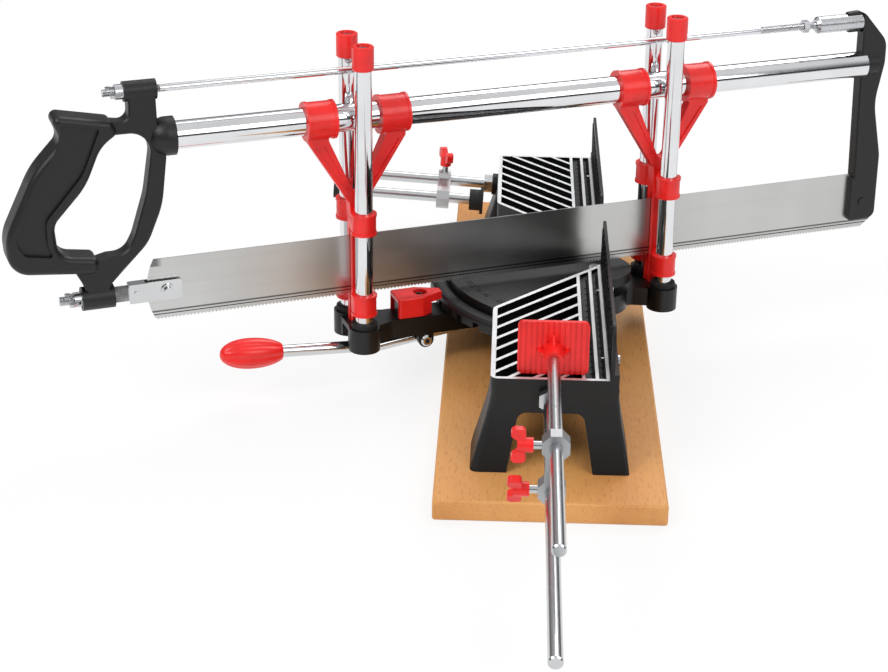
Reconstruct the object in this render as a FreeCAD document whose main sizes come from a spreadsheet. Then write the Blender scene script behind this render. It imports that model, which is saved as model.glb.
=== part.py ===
import FreeCAD, Part
import math
import os
import Sketcher
from FreeCAD import Placement, Rotation, Vector

# Manual mitre saw on a beech board.
# Millimetres, +Z up. The origin is on the underside of the board, under the pivot of the
# swinging arm. +X runs along the fence, +Y from the operator to the fence.
# The arm, the posts, the guides and the saw are drawn with the blade along Y (reach) and
# are then turned by rest_swing about Z, the notch that the arm rests in.

document = FreeCAD.newDocument("MitreSaw")
sheet = document.addObject("Spreadsheet::Sheet", "Sizes")

SIZES = [
    ("rest_swing", 22.5, "notch that the arm rests in, degrees from square"),
    ("board_length", 532, "beech board along the fence"),
    ("board_width", 145.5, "beech board across"),
    ("board_thick", 14, "beech board thickness"),
    ("board_front", 106, "pivot to the board's operator edge"),
    ("board_shift", -3, "middle of the board from the pivot, along the fence"),
    ("board_edge", 1.2, "bevel of the board's edges"),
    ("table_half", 214, "pivot to the end of each half of the table"),
    ("table_front", 72, "pivot to the table's operator edge"),
    ("table_back", 9, "pivot to the back wall of the table"),
    ("table_top", 75, "height of the rib tops"),
    ("plate_thick", 10, "depth of the ribbed top"),
    ("pocket_depth", 7, "depth between the ribs"),
    ("wall", 4, "walls of the casting"),
    ("wall_foot", 50.2, "height of the lower edge of the side walls"),
    ("slot_inner", 20, "pivot to the saw slot's edge at the fence"),
    ("slot_outer", 101.5, "pivot to the saw slot's edge at the operator edge"),
    ("rib_pitch", 17.2, "ribs, from one to the next along the table"),
    ("rib_wide", 4, "ribs, width measured along the table"),
    ("rim_wide", 3, "flat rim round the ribbed top"),
    ("scale_line", 15, "fence face to the rib in front of the two scale strips"),
    ("strip_wide", 6.2, "width of a scale strip"),
    ("line_wide", 2.2, "width of the ribs beside the scale strips"),
    ("leg_start", 178, "pivot to the inner side of a leg"),
    ("leg_flare", 12, "how far a leg spreads to the side at its foot"),
    ("end_flare", 10, "how far a leg spreads past the table's end at its foot"),
    ("leg_wide", 23, "width of a leg at its foot"),
    ("arch_top", 52, "height of the arch in the end wall"),
    ("quadrant_top", 65, "height of the flat quadrant"),
    ("quadrant_thick", 7, "thickness of the quadrant plate"),
    ("rim_radius", 118.5, "outside of the quadrant's rim"),
    ("rim_depth", 15, "width of the quadrant's rim"),
    ("rim_bottom", 50.5, "height of the rim's lower face"),
    ("rim_shoulder", 60, "height of the rim's outer shoulder"),
    ("groove_radius", 107, "inside of the groove behind the rim"),
    ("groove_wide", 2.8, "width of the groove behind the rim"),
    ("groove_floor", 57.5, "height of the groove's floor"),
    ("notch_wide", 6.6, "width of a notch in the rim"),
    ("notch_deep", 4, "depth of a notch in the rim"),
    ("hub_radius", 26, "round middle of the quadrant"),
    ("hub_boss", 14, "boss that the arm turns against"),
    ("hub_bottom", 49.8, "height where the arm's hub meets the casting"),
    ("relief_radius", 25.6, "room for the arm's hub"),
    ("pivot_radius", 5, "pivot bolt"),
    ("running_gap", 0.05, "radial gap of a turning or sliding fit"),
    ("clear_gap", 0.3, "gap between pieces that pass each other"),
    ("fence_face", 2.5, "pivot line to the fence's working face"),
    ("fence_thick", 2.8, "fence thickness"),
    ("fence_foot", 6, "thickness of the fence's foot"),
    ("fence_step", 79, "height of the foot's upper edge"),
    ("fence_rib", 0.8, "ribs on the fence's face"),
    ("fence_top", 111, "height of the fence"),
    ("fence_seat", 67, "height of the step that the fence stands on"),
    ("fence_start", 22, "pivot to the inner end of each fence"),
    ("arm_bottom", 36, "height of the arm's lower face"),
    ("arm_top", 49.4, "height of the arm's upper face"),
    ("arm_half", 11, "half the arm's width"),
    ("arm_end", 189, "pivot to the operator end of the arm"),
    ("arm_tail", 55, "pivot to the far end of the arm"),
    ("channel_half", 6.2, "half the width of the channel under the arm"),
    ("channel_top", 45.4, "height of the channel's ceiling"),
    ("hub_arm", 24, "radius of the arm's hub"),
    ("front_reach", 180.5, "pivot to the front posts"),
    ("rear_reach", 46.3, "pivot to the rear posts"),
    ("post_offset", 16.9, "blade to the middle of a post"),
    ("post_radius", 6, "post"),
    ("post_seat", 38, "height of a post's lower end"),
    ("post_top", 248.8, "height of a post's upper end"),
    ("boss_radius", 10.8, "boss round a post"),
    ("boss_bottom", 34.3, "height of a boss's lower face"),
    ("boss_top", 51, "height of a boss's upper face"),
    ("bumper_radius", 8.9, "rubber ring at the foot of a post"),
    ("bumper_top", 54.3, "height of the rubber ring"),
    ("cap_radius", 7.3, "cap on a post"),
    ("cap_bottom", 233.6, "height of a cap's lower edge"),
    ("cap_top", 249.8, "height of a cap's upper edge"),
    ("cap_window", 4.6, "opening in a cap's top"),
    ("screw_radius", 2.5, "screws that hold the posts"),
    ("head_radius", 4.4, "heads of the screws that hold the posts"),
    ("lever_reach", 133, "pivot to the lock lever's pin"),
    ("lever_height", 31.5, "height of the lock lever's pin"),
    ("lever_radius", 4.25, "lock lever bar"),
    ("lever_pin_radius", 2.5, "lock lever's pin"),
    ("lug_radius", 5.5, "lug round the lever's pin"),
    ("toe_reach", 106, "pivot to the lever's upturned toe"),
    ("grip_reach", 257, "pivot to the middle of the lever's grip"),
    ("grip_height", 35, "height of the middle of the grip"),
    ("grip_length", 46, "lever grip"),
    ("grip_radius", 11, "lever grip"),
    ("grip_tilt", 4.5, "slope of the lever's outer part"),
    ("latch_top", 64, "height of the latch"),
    ("latch_skin", 2.2, "wall of the latch"),
    ("latch_half", 10.2, "half the latch's width"),
    ("latch_tail", 153, "pivot to the latch's outer end"),
    ("latch_shoulder", 135, "pivot to where the latch narrows"),
    ("latch_nose", 3, "half the width of the latch's nose"),
    ("latch_travel", 3, "how far the latch draws out"),
    ("peg_reach", 135.5, "pivot to the steel peg in the latch"),
    ("peg_radius", 3.2, "steel peg in the latch"),
    ("spring_radius", 2.8, "coil of the latch's spring"),
    ("spring_wire", 0.8, "wire of the latch's spring"),
    ("tube_height", 196.9, "height of the saw's tube"),
    ("tube_radius", 9.4, "tube of the saw"),
    ("tube_wall", 1.2, "wall of the tube"),
    ("tube_front", 312, "pivot to the tube's end in the handle"),
    ("tube_back", 207, "pivot to the tube's end in the bracket"),
    ("rod_height", 229.3, "height of the tension rod"),
    ("rod_radius", 2.4, "tension rod"),
    ("ring_radius", 13.2, "rings of a guide round the tube"),
    ("ring_length", 20.6, "rings of a guide along the tube"),
    ("ring_spread", 25.5, "post to the middle of a tube ring"),
    ("arm_plate", 9, "thickness of a guide's slanted arms"),
    ("collar_radius", 8.8, "rings of a guide round a post"),
    ("collar_height", 14.8, "height of those rings"),
    ("lip", 0.5, "raised lips at the ends of a guide's rings"),
    ("low_collar", 60.6, "height of the lower ring's lower face"),
    ("high_collar", 119.5, "height of the upper ring's lower face"),
    ("stem_half", 4.6, "half the guide's stem along the blade"),
    ("stem_out", 5.4, "half the guide's stem across the blade"),
    ("blade_slot", 1.2, "half the slot that the blade runs in"),
    ("slot_top", 118, "height of the top of that slot"),
    ("blade_front", 326.5, "pivot to the blade's handle end"),
    ("blade_back", 225, "pivot to the blade's far end"),
    ("blade_bottom", 69.4, "height of the tooth tips"),
    ("blade_height", 43.4, "blade with its teeth"),
    ("blade_thick", 0.8, "blade"),
    ("tooth_pitch", 2.5, "teeth"),
    ("tooth_deep", 1.3, "teeth"),
    ("pin_height", 91, "height of the two blade pins"),
    ("front_pin", 313.4, "pivot to the blade's front pin"),
    ("back_pin", 215, "pivot to the blade's rear pin"),
    ("blade_pin", 2.9, "blade pins"),
    ("handle_thick", 12, "frame of the handle"),
    ("grip_thick", 22, "grip of the handle"),
    ("frame_round", 1, "bevel of the handle's frame"),
    ("grip_round", 4, "rounding of the grip"),
    ("panel_deep", 2.5, "recess in each side of the grip"),
    ("upper_lug", 6.6, "radius of the handle's upper lug"),
    ("lower_lug", 8, "radius of the handle's lower lug"),
    ("lug_length", 21.4, "length of both lugs"),
    ("upper_lug_back", 314.4, "pivot to the back face of the upper lug"),
    ("lower_lug_back", 349, "pivot to the back face of the lower lug"),
    ("socket_radius", 12.8, "round socket that takes the tube"),
    ("socket_face", 303.8, "pivot to the socket's face"),
    ("bracket_thick", 10, "end bracket"),
    ("jaw_thick", 10.6, "end bracket where it holds the blade"),
    ("jaw_slot", 0.5, "half the slot that the blade sits in"),
    ("clevis_radius", 6, "clevis on the tension rod"),
    ("clevis_start", 164.5, "pivot to the clevis's front face"),
    ("clevis_end", 201.5, "pivot to the clevis's back face"),
    ("clevis_slot", 2.6, "half the clevis's slot"),
    ("clevis_pin", 2, "pin of the clevis"),
    ("clevis_pin_at", 197.3, "pivot to the clevis pin"),
    ("holder_front", 339.4, "pivot to the front of the blade holder"),
    ("holder_back", 303.7, "pivot to the back of the blade holder"),
    ("holder_height", 13.4, "blade holder"),
    ("holder_half", 2.6, "half the gap in the blade holder"),
    ("holder_skin", 1.2, "sheet of the blade holder"),
    ("stud_radius", 3, "threaded stud of the blade holder"),
    ("nut_length", 9.5, "wing nuts along their thread"),
    ("stop_y", -34.8, "stop rods across the table"),
    ("stop_lean", 1.6, "how far the upper rod leans towards the fence"),
    ("stop_low", 63.5, "height of the lower stop rod"),
    ("stop_rise", 28.3, "lower stop rod to the upper one"),
    ("stop_radius", 4, "stop rods"),
    ("low_rod_reach", 303, "table's end to the end of the lower stop rod"),
    ("high_rod_reach", 242.4, "table's end to the outer end of the upper stop rod"),
    ("clip_reach", 123, "table's end to the middle of the stop bracket"),
    ("clip_thick", 10, "stop bracket along the rods"),
    ("clip_radius", 8, "rings of the stop bracket"),
    ("clip_neck", 5, "half the neck between the rings"),
    ("wing_stud", 2.4, "studs of the wing screws"),
    ("wing_hub", 4.4, "hub of a wing screw"),
    ("wing_reach", 26.4, "rod axis to the outer end of a wing screw"),
    ("wing_half", 10.9, "half the span of a wing screw"),
    ("wing_thick", 5, "thickness of a wing"),
    ("stop_plate_wide", 44.7, "stop plate across"),
    ("stop_plate_high", 35.5, "stop plate height"),
    ("stop_plate_thick", 3.4, "stop plate"),
    ("stop_inset", 10.6, "table's end to the stop plate's working face"),
    ("stop_lift", 0.4, "table to the stop plate's lower edge"),
    ("stop_hub", 6.2, "hub of the stop plate"),
    ("stop_hub_long", 17, "hub of the stop plate"),
    ("clamp_inset", 16.5, "table's end to the clamp rod"),
    ("clamp_tilt", 3.5, "degrees that the clamp rod rises from level"),
    ("clamp_height", 55.5, "height of the clamp rod"),
    ("clamp_end", -182, "outer end of the clamp rod"),
    ("clamp_clip_at", -115.8, "middle of the clamp bracket across"),
    ("clamp_droop", 9.5, "degrees that the clamp bracket hangs below level"),
    ("spindle_in", -92, "inner end of the clamp's spindle"),
    ("spindle_out", -190, "outer end of the clamp's spindle"),
    ("foot_radius", 11, "disc of the clamp's foot"),
    ("knob_radius", 7, "knob of the clamp's spindle"),
    ("knob_long", 13, "knob of the clamp's spindle"),
    ("hex_across", 13, "nuts on the rods, across flats"),
    ("hex_thick", 6.5, "nuts on the rods"),
]

for row, (alias, value, meaning) in enumerate(SIZES, 1):
    sheet.set(f"A{row}", meaning)
    sheet.set(f"B{row}", str(value))
    sheet.setAlias(f"B{row}", alias)
document.recompute()


class Size:
    """A length with the text that binds it to the sheet."""

    def __init__(self, value, text):
        self.value = value
        self.text = text

    def join(self, other, sign, value, swap=False):
        text = other.text if isinstance(other, Size) else repr(float(other))
        pair = (text, self.text) if swap else (self.text, text)
        return Size(value, f"({pair[0]} {sign} {pair[1]})")

    def __add__(self, other):
        return self.join(other, "+", self.value + number(other))

    def __radd__(self, other):
        return self.join(other, "+", number(other) + self.value, swap=True)

    def __sub__(self, other):
        return self.join(other, "-", self.value - number(other))

    def __rsub__(self, other):
        return self.join(other, "-", number(other) - self.value, swap=True)

    def __mul__(self, other):
        return self.join(other, "*", self.value * number(other))

    def __rmul__(self, other):
        return self.join(other, "*", number(other) * self.value, swap=True)

    def __truediv__(self, other):
        return self.join(other, "/", self.value / number(other))

    def __neg__(self):
        return self.join(0, "-", -self.value, swap=True)


def number(thing):
    return thing.value if isinstance(thing, Size) else thing


SIZE = {alias: Size(float(value), f"Sizes.{alias}") for alias, value, meaning in SIZES}


SIZE["low_rod_end"] = SIZE["table_half"] + SIZE["low_rod_reach"]
SIZE["high_rod_start"] = SIZE["table_half"] - 5
SIZE["high_rod_end"] = SIZE["table_half"] + SIZE["high_rod_reach"]
SIZE["clip_at"] = SIZE["table_half"] + SIZE["clip_reach"]
SIZE["stop_plate_at"] = SIZE["table_half"] - SIZE["stop_inset"]
SIZE["clamp_x"] = SIZE["clamp_inset"] - SIZE["table_half"]
SIZE["stop_high_y"] = SIZE["stop_y"] + SIZE["stop_lean"]


def bind(item, field, value):
    """Ties one property or constraint of an object to the sheet."""
    if isinstance(value, Size):
        item.setExpression(field, value.text)


def new_body(label, turned=False, at=(0, 0, 0)):
    body = document.addObject("PartDesign::Body", label)
    body.Label = label
    body.AllowCompound = True
    angle = SIZE["rest_swing"].value if turned else 0
    body.Placement = Placement(Vector(*[number(v) for v in at]), Rotation(Vector(0, 0, 1), angle))
    if turned:
        bind(body, "Placement.Rotation.Angle", SIZE["rest_swing"])
    for field, value in zip("xyz", at):
        bind(body, f"Placement.Base.{field}", value)
    return body


def new_sketch(body, role, lift=0):
    plane = [item for item in body.Origin.OriginFeatures if item.Role == role][0]
    sketch = body.newObject("Sketcher::SketchObject", body.Name + "_sketch")
    sketch.AttachmentSupport = (plane, [""])
    sketch.MapMode = "FlatFace"
    sketch.AttachmentOffset = Placement(Vector(0, 0, number(lift)), Rotation())
    bind(sketch, "AttachmentOffset.Base.z", lift)
    return sketch


def hold_point(sketch, geometry, position, x, y):
    for kind, value in (("DistanceX", x), ("DistanceY", y)):
        index = sketch.addConstraint(
            Sketcher.Constraint(kind, -1, 1, geometry, position, number(value))
        )
        bind(sketch, f"Constraints[{index}]", value)


def hold_radius(sketch, geometry, radius):
    index = sketch.addConstraint(Sketcher.Constraint("Radius", geometry, number(radius)))
    bind(sketch, f"Constraints[{index}]", radius)


def outline(sketch, corners):
    """A closed run of straight sides; a corner is (x, y) or (x, y, rounding)."""
    spots = [Vector(number(c[0]), number(c[1]), 0) for c in corners]
    count = len(spots)
    sides = [
        sketch.addGeometry(Part.LineSegment(spots[i], spots[(i + 1) % count]), False)
        for i in range(count)
    ]
    for i in range(count):
        sketch.addConstraint(Sketcher.Constraint("Coincident", sides[i], 2, sides[(i + 1) % count], 1))
        hold_point(sketch, sides[i], 1, corners[i][0], corners[i][1])
    for i in range(count):
        if len(corners[i]) > 2:
            sketch.fillet(sides[i], 1, number(corners[i][2]), True, True)
            hold_radius(sketch, sketch.GeometryCount - 2, corners[i][2])


def circle(sketch, x, y, radius):
    ring = Part.Circle(Vector(number(x), number(y), 0), Vector(0, 0, 1), number(radius))
    geometry = sketch.addGeometry(ring, False)
    hold_point(sketch, geometry, 3, x, y)
    hold_radius(sketch, geometry, radius)


def rectangle(sketch, x1, y1, x2, y2, rounding=None):
    corners = [(x1, y1), (x2, y1), (x2, y2), (x1, y2)]
    if rounding:
        corners = [corner + (rounding,) for corner in corners]
    outline(sketch, corners)


def hexagon(sketch, x, y, across, phase=0):
    """Flat sides, across the flats; the middle follows the sheet through the corners."""
    reach = across / math.sqrt(3)
    spokes = [math.radians(phase + 60 * k) for k in range(6)]
    outline(sketch, [(x + reach * math.cos(a), y + reach * math.sin(a)) for a in spokes])


def feature(body, kind, sketch, length, both, back):
    item = body.newObject(f"PartDesign::{kind}", f"{body.Name}_{kind.lower()}")
    item.Profile = sketch
    item.Length = number(length)
    item.Midplane = both
    item.Reversed = back
    bind(item, "Length", length)
    return item


def pad(body, sketch, length, both=False, back=False):
    item = feature(body, "Pad", sketch, length, both, back)
    document.recompute()
    return item


def pocket(body, sketch, length, both=False, back=False):
    """Cuts towards the sketch's underside; back turns the cut round."""
    before = body.Shape.Volume
    item = feature(body, "Pocket", sketch, length, both, back)
    document.recompute()
    if body.Shape.Volume > before - 1e-3:
        raise RuntimeError(f"{item.Name} removes nothing")
    return item


def revolve(body, sketch, axis="V_Axis", cut=False):
    before = body.Shape.Volume if cut else 0
    kind = "Groove" if cut else "Revolution"
    item = body.newObject(f"PartDesign::{kind}", f"{body.Name}_{kind.lower()}")
    item.Profile = sketch
    item.ReferenceAxis = (sketch, [axis])
    item.Angle = 360
    document.recompute()
    if cut and body.Shape.Volume > before - 1e-3:
        raise RuntimeError(f"{item.Name} removes nothing")
    return item


def dress(body, kind, size, chosen):
    """Rounds (Fillet) or bevels (Chamfer) the edges that chosen picks."""
    base = body.Tip
    names = [f"Edge{i + 1}" for i, edge in enumerate(base.Shape.Edges) if chosen(edge)]
    if not names:
        raise RuntimeError(f"{body.Name}: no edge to dress")
    item = body.newObject(f"PartDesign::{kind}", f"{body.Name}_{kind.lower()}")
    item.Base = (base, names)
    field = "Radius" if kind == "Fillet" else "Size"
    setattr(item, field, number(size))
    bind(item, field, size)
    document.recompute()
    return item


def pattern(body, kind, features, setup):
    item = body.newObject(f"PartDesign::{kind}", f"{body.Name}_{kind.lower()}")
    item.Originals = features
    setup(item)
    body.Tip = item
    document.recompute()
    return item


def plane_of(body, role):
    return [item for item in body.Origin.OriginFeatures if item.Role == role][0]


def near(value, target, slack=0.01):
    return abs(value - number(target)) < slack


def is_circle(edge):
    return isinstance(edge.Curve, Part.Circle)


def bar(label, role, x, y, start, length, radius, turned=False, bore=None, bevel=None):
    """A round bar square to one of the body's planes."""
    body = new_body(label, turned)
    sketch = new_sketch(body, role, start)
    circle(sketch, x, y, radius)
    if bore is not None:
        circle(sketch, x, y, bore)
    pad(body, sketch, length)
    if bevel is not None:
        outer = number(radius)
        dress(body, "Chamfer", bevel, lambda e: is_circle(e) and near(e.Curve.Radius, outer))
    return body


# Base board

def make_base_board():
    body = new_body("base_board", at=(SIZE["board_shift"], 0, 0))
    sketch = new_sketch(body, "XY_Plane")
    half = SIZE["board_length"] / 2
    back = SIZE["board_width"] - SIZE["board_front"]
    rectangle(sketch, -half, -SIZE["board_front"], half, back)
    pad(body, sketch, SIZE["board_thick"])
    dress(body, "Chamfer", SIZE["board_edge"], lambda e: True)
    holes = new_sketch(body, "XY_Plane", SIZE["board_thick"])
    heads = new_sketch(body, "XY_Plane")
    for x, y in foot_screws():
        circle(holes, x - SIZE["board_shift"], y, 2.4)
        circle(heads, x - SIZE["board_shift"], y, 5)
    pocket(body, holes, SIZE["board_thick"])
    pocket(body, heads, 4, back=True)


def foot_screws():
    """Middles of the four wood screws that hold the legs."""
    across = SIZE["table_half"] - 9
    front = -(SIZE["table_front"] + 1)
    rear = SIZE["table_back"] - 3.5
    return [(sign * across, y) for sign in (-1, 1) for y in (front, rear)]


def make_board_screws():
    body = new_body("board_screws")
    heads = new_sketch(body, "XY_Plane", 1)
    shanks = new_sketch(body, "XY_Plane", 1)
    for x, y in foot_screws():
        circle(heads, x, y, 4.6)
        circle(shanks, x, y, 2.2)
    pad(body, heads, 3)
    pad(body, shanks, SIZE["board_thick"] + 19)


# Table casting

def slot_edge(y):
    """Where the saw slot's slanted edge lies for a distance across the table."""
    run = SIZE["slot_outer"].value - SIZE["slot_inner"].value
    depth = SIZE["table_front"].value + SIZE["fence_face"].value
    return SIZE["slot_inner"].value + (SIZE["fence_face"].value - y) * run / depth


def clip_right(corners, limit):
    """Cuts a polygon off to the right of a line of constant x."""
    kept = []
    for i, (x1, y1) in enumerate(corners):
        x2, y2 = corners[(i + 1) % len(corners)]
        if x1 <= limit:
            kept.append((x1, y1))
        if (x1 < limit) != (x2 < limit) and x1 != x2:
            share = (limit - x1) / (x2 - x1)
            kept.append((limit, y1 + share * (y2 - y1)))
    return kept


def rib_pockets():
    """Openings between the slanted ribs of the half at +X."""
    rim = SIZE["rim_wide"].value
    low = -SIZE["table_front"].value + rim
    high = SIZE["fence_face"].value - SIZE["scale_line"].value - SIZE["line_wide"].value
    limit = SIZE["table_half"].value - rim
    pitch = SIZE["rib_pitch"].value
    wide = pitch - SIZE["rib_wide"].value
    start = rim * 1.5
    shapes = []
    while slot_edge(high) + start < limit - rim:
        corners = [
            (slot_edge(low) + start, low),
            (slot_edge(low) + start + wide, low),
            (slot_edge(high) + start + wide, high),
            (slot_edge(high) + start, high),
        ]
        corners = clip_right(corners, limit)
        area = abs(sum(a[0] * b[1] - b[0] * a[1] for a, b in zip(corners, corners[1:] + corners[:1]))) / 2
        if area > 40:
            shapes.append(corners)
        start += pitch
    return shapes


def strip_pockets():
    """The two scale strips beside the fence."""
    rim = SIZE["rim_wide"].value
    face = SIZE["fence_face"].value
    strip = SIZE["strip_wide"].value
    limit = SIZE["table_half"].value - rim
    first = face - SIZE["scale_line"].value
    second = first + strip + SIZE["line_wide"].value
    shapes = []
    for low, high in ((first, first + strip), (second, face - rim + 1)):
        shapes.append([
            (slot_edge(low) + rim * 1.5, low),
            (limit, low),
            (limit, high),
            (slot_edge(high) + rim * 1.5, high),
        ])
    return shapes


def plain_outline(sketch, corners):
    """Sides between worked-out corners."""
    spots = [Vector(x, y, 0) for x, y in corners]
    for i, spot in enumerate(spots):
        sketch.addGeometry(Part.LineSegment(spot, spots[(i + 1) % len(spots)]), False)


def quadrant_outline(sketch, inset, radius):
    """A sector between the two slanted edges, with a round front."""
    edge = -SIZE["table_front"].value
    half = slot_edge(edge) + 1.5
    front = Vector(0, -radius, 0)
    low = -math.sqrt(radius ** 2 - half ** 2)
    near_x = slot_edge(SIZE["fence_face"].value) + 1.5
    back = SIZE["fence_face"].value
    right = [Vector(near_x, back, 0), Vector(half, edge, 0)]
    start = Vector(half, low, 0)
    end = Vector(-half, low, 0)
    left = [Vector(-half, edge, 0), Vector(-near_x, back, 0)]
    if low > edge:
        angle = math.atan2(edge, half)
        start = Vector(radius * math.cos(angle), radius * math.sin(angle), 0)
        end = Vector(-start.x, start.y, 0)
        right = [Vector(near_x, back, 0)]
        left = [Vector(-near_x, back, 0)]
    run = right + [start]
    for a, b in zip(run, run[1:]):
        sketch.addGeometry(Part.LineSegment(a, b), False)
    sketch.addGeometry(Part.Arc(start, front, end), False)
    run = [end] + left
    for a, b in zip(run, run[1:]):
        sketch.addGeometry(Part.LineSegment(a, b), False)
    sketch.addGeometry(Part.LineSegment(left[-1], right[0]), False)


def make_quadrant(body):
    top = SIZE["quadrant_top"]
    plate = new_sketch(body, "XY_Plane", top - SIZE["quadrant_thick"])
    quadrant_outline(plate, 0, SIZE["rim_radius"].value)
    pad(body, plate, SIZE["quadrant_thick"])
    ring = new_sketch(body, "XY_Plane", SIZE["rim_bottom"])
    quadrant_outline(ring, 0, SIZE["rim_radius"].value)
    pad(body, ring, top - SIZE["rim_bottom"])
    inner = new_sketch(body, "XY_Plane", top - SIZE["quadrant_thick"])
    circle(inner, 0, 0, SIZE["rim_radius"] - SIZE["rim_depth"])
    pocket(body, inner, SIZE["quadrant_thick"] + 10)
    groove = new_sketch(body, "XZ_Plane")
    start = SIZE["groove_radius"]
    shoulder = start + SIZE["groove_wide"]
    edge = SIZE["rim_radius"]
    outline(groove, [
        (start, top + 1), (start, SIZE["groove_floor"]), (shoulder, SIZE["groove_floor"]),
        (shoulder, SIZE["rim_shoulder"]), (edge - 4, SIZE["rim_shoulder"]),
        (edge - 2, SIZE["rim_shoulder"] - 0.5), (edge - 0.5, SIZE["rim_shoulder"] - 2),
        (edge, SIZE["rim_shoulder"] - 4), (edge + 2, SIZE["rim_shoulder"] - 4), (edge + 2, top + 1),
    ])
    revolve(body, groove, cut=True)
    notch = new_sketch(body, "XY_Plane", SIZE["rim_shoulder"] - 5)
    for angle in (-45, -36, -30, -22.5, 0, 22.5, 30, 36, 45):
        notch_outline(notch, angle)
    pocket(body, notch, SIZE["rim_shoulder"] - 5 - SIZE["rim_bottom"])
    hub = new_sketch(body, "XY_Plane", top - SIZE["quadrant_thick"])
    circle(hub, 0, 0, SIZE["hub_radius"])
    pad(body, hub, SIZE["quadrant_thick"])
    boss = new_sketch(body, "XY_Plane", SIZE["hub_bottom"])
    circle(boss, 0, 0, SIZE["hub_boss"])
    pad(body, boss, top - SIZE["hub_bottom"] - 1)


def notch_outline(sketch, angle):
    """A tapered notch in the rim, at an angle from square."""
    turn = Rotation(Vector(0, 0, 1), angle)
    outer = -(SIZE["rim_radius"].value + 2)
    inner = -(SIZE["rim_radius"].value - SIZE["notch_deep"].value)
    half = SIZE["notch_wide"].value / 2
    corners = [(-half, outer), (half, outer), (half - 0.8, inner), (0.8 - half, inner)]
    spots = [turn.multVec(Vector(x, y, 0)) for x, y in corners]
    plain_outline(sketch, [(s.x, s.y) for s in spots])


def make_table_casting():
    body = new_body("table_casting")
    make_quadrant(body)
    half = SIZE["table_half"]
    front = -SIZE["table_front"]
    back = SIZE["table_back"]
    top = SIZE["table_top"]
    inner = SIZE["slot_inner"]
    under = top - SIZE["plate_thick"]
    made = []

    plate = new_sketch(body, "XY_Plane", under)
    outline(plate, [
        (inner, SIZE["fence_face"]), (SIZE["slot_outer"], front, 8), (half, front, 5),
        (half, back, 2), (inner, back),
    ])
    made.append(pad(body, plate, SIZE["plate_thick"]))

    skirt = new_sketch(body, "XY_Plane", SIZE["wall_foot"])
    outline(skirt, [
        (inner, SIZE["fence_face"]), (SIZE["slot_outer"], front, 8), (half, front, 5),
        (half, back, 2), (inner, back),
    ])
    made.append(pad(body, skirt, under - SIZE["wall_foot"]))

    made.append(make_leg_block(body, under))

    slanted = new_sketch(body, "XY_Plane", SIZE["board_thick"])
    outline(slanted, [
        (inner, SIZE["fence_face"]), (SIZE["slot_outer"], front), (SIZE["slot_outer"] + 7, front),
        (inner + 7, SIZE["fence_face"]),
    ])
    made.append(pad(body, slanted, SIZE["wall_foot"] - SIZE["board_thick"]))

    hollow = new_sketch(body, "XY_Plane", under)
    wall = SIZE["wall"]
    outline(hollow, [
        (inner + wall * 2 + 3, SIZE["fence_face"] + 2.5), (SIZE["slot_outer"] + wall * 1.8, front + wall),
        (half - wall, front + wall), (half - wall, SIZE["fence_face"] + 2.5),
    ])
    made.append(pocket(body, hollow, under - SIZE["board_thick"]))

    arch = new_sketch(body, "YZ_Plane", half - 16)
    rise = SIZE["arch_top"]
    foot = SIZE["leg_wide"]
    left = -SIZE["table_front"] - SIZE["leg_flare"] + foot
    right = back + 8 - foot
    outline(arch, [
        (left, SIZE["board_thick"] - 1), (right, SIZE["board_thick"] - 1),
        (right - 7, rise, 6), (left + 7, rise, 6),
    ])
    made.append(pocket(body, arch, 40, back=True))

    step = new_sketch(body, "XY_Plane", top)
    rectangle(step, inner - 1, SIZE["fence_face"], half + 1, back + 1)
    made.append(pocket(body, step, top - SIZE["fence_seat"]))

    ribs = new_sketch(body, "XY_Plane", top)
    for corners in rib_pockets() + strip_pockets():
        plain_outline(ribs, corners)
    made.append(pocket(body, ribs, SIZE["pocket_depth"]))

    pattern(body, "Mirrored", made, lambda item: setattr(item, "MirrorPlane", (plane_of(body, "YZ_Plane"), [""])))

    relief = new_sketch(body, "XY_Plane", SIZE["hub_bottom"])
    circle(relief, 0, 0, SIZE["relief_radius"])
    pocket(body, relief, SIZE["hub_bottom"] - SIZE["board_thick"])
    rear = new_sketch(body, "XY_Plane", SIZE["rim_bottom"])
    spread = (SIZE["arm_half"] + 1) * 1.42
    outline(rear, [(-spread, 0), (spread, 0), (spread + 30, 30), (-spread - 30, 30)])
    pocket(body, rear, SIZE["rim_bottom"] - SIZE["board_thick"])

    bore = new_sketch(body, "XY_Plane", SIZE["quadrant_top"])
    circle(bore, 0, 0, SIZE["pivot_radius"])
    pocket(body, bore, SIZE["quadrant_top"] - SIZE["hub_bottom"])

    drill_casting(body)


def make_leg_block(body, under):
    """The two spread legs at the table's end, as one block that the hollow and arch open."""
    sections = []
    for height, side, end in ((SIZE["board_thick"], 1.0, 1.0), (SIZE["board_thick"] + 17, 0.62, 0.5),
                              (SIZE["wall_foot"] - 6, 0.3, 0.2), (SIZE["table_top"], 0.0, 0.0)):
        sketch = new_sketch(body, "XY_Plane", height)
        flare = SIZE["leg_flare"] * side
        low = -SIZE["table_front"] - flare
        high = SIZE["table_back"] + flare * 0.67
        end_at = SIZE["table_half"] + SIZE["end_flare"] * end
        outline(sketch, [
            (SIZE["leg_start"], low, 5), (end_at, low, 5), (end_at, high, 2), (SIZE["leg_start"], high, 2),
        ])
        sections.append(sketch)
    loft = body.newObject("PartDesign::AdditiveLoft", "table_casting_legs")
    loft.Profile = sections[0]
    loft.Sections = sections[1:]
    loft.Ruled = False
    document.recompute()
    return loft


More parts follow.
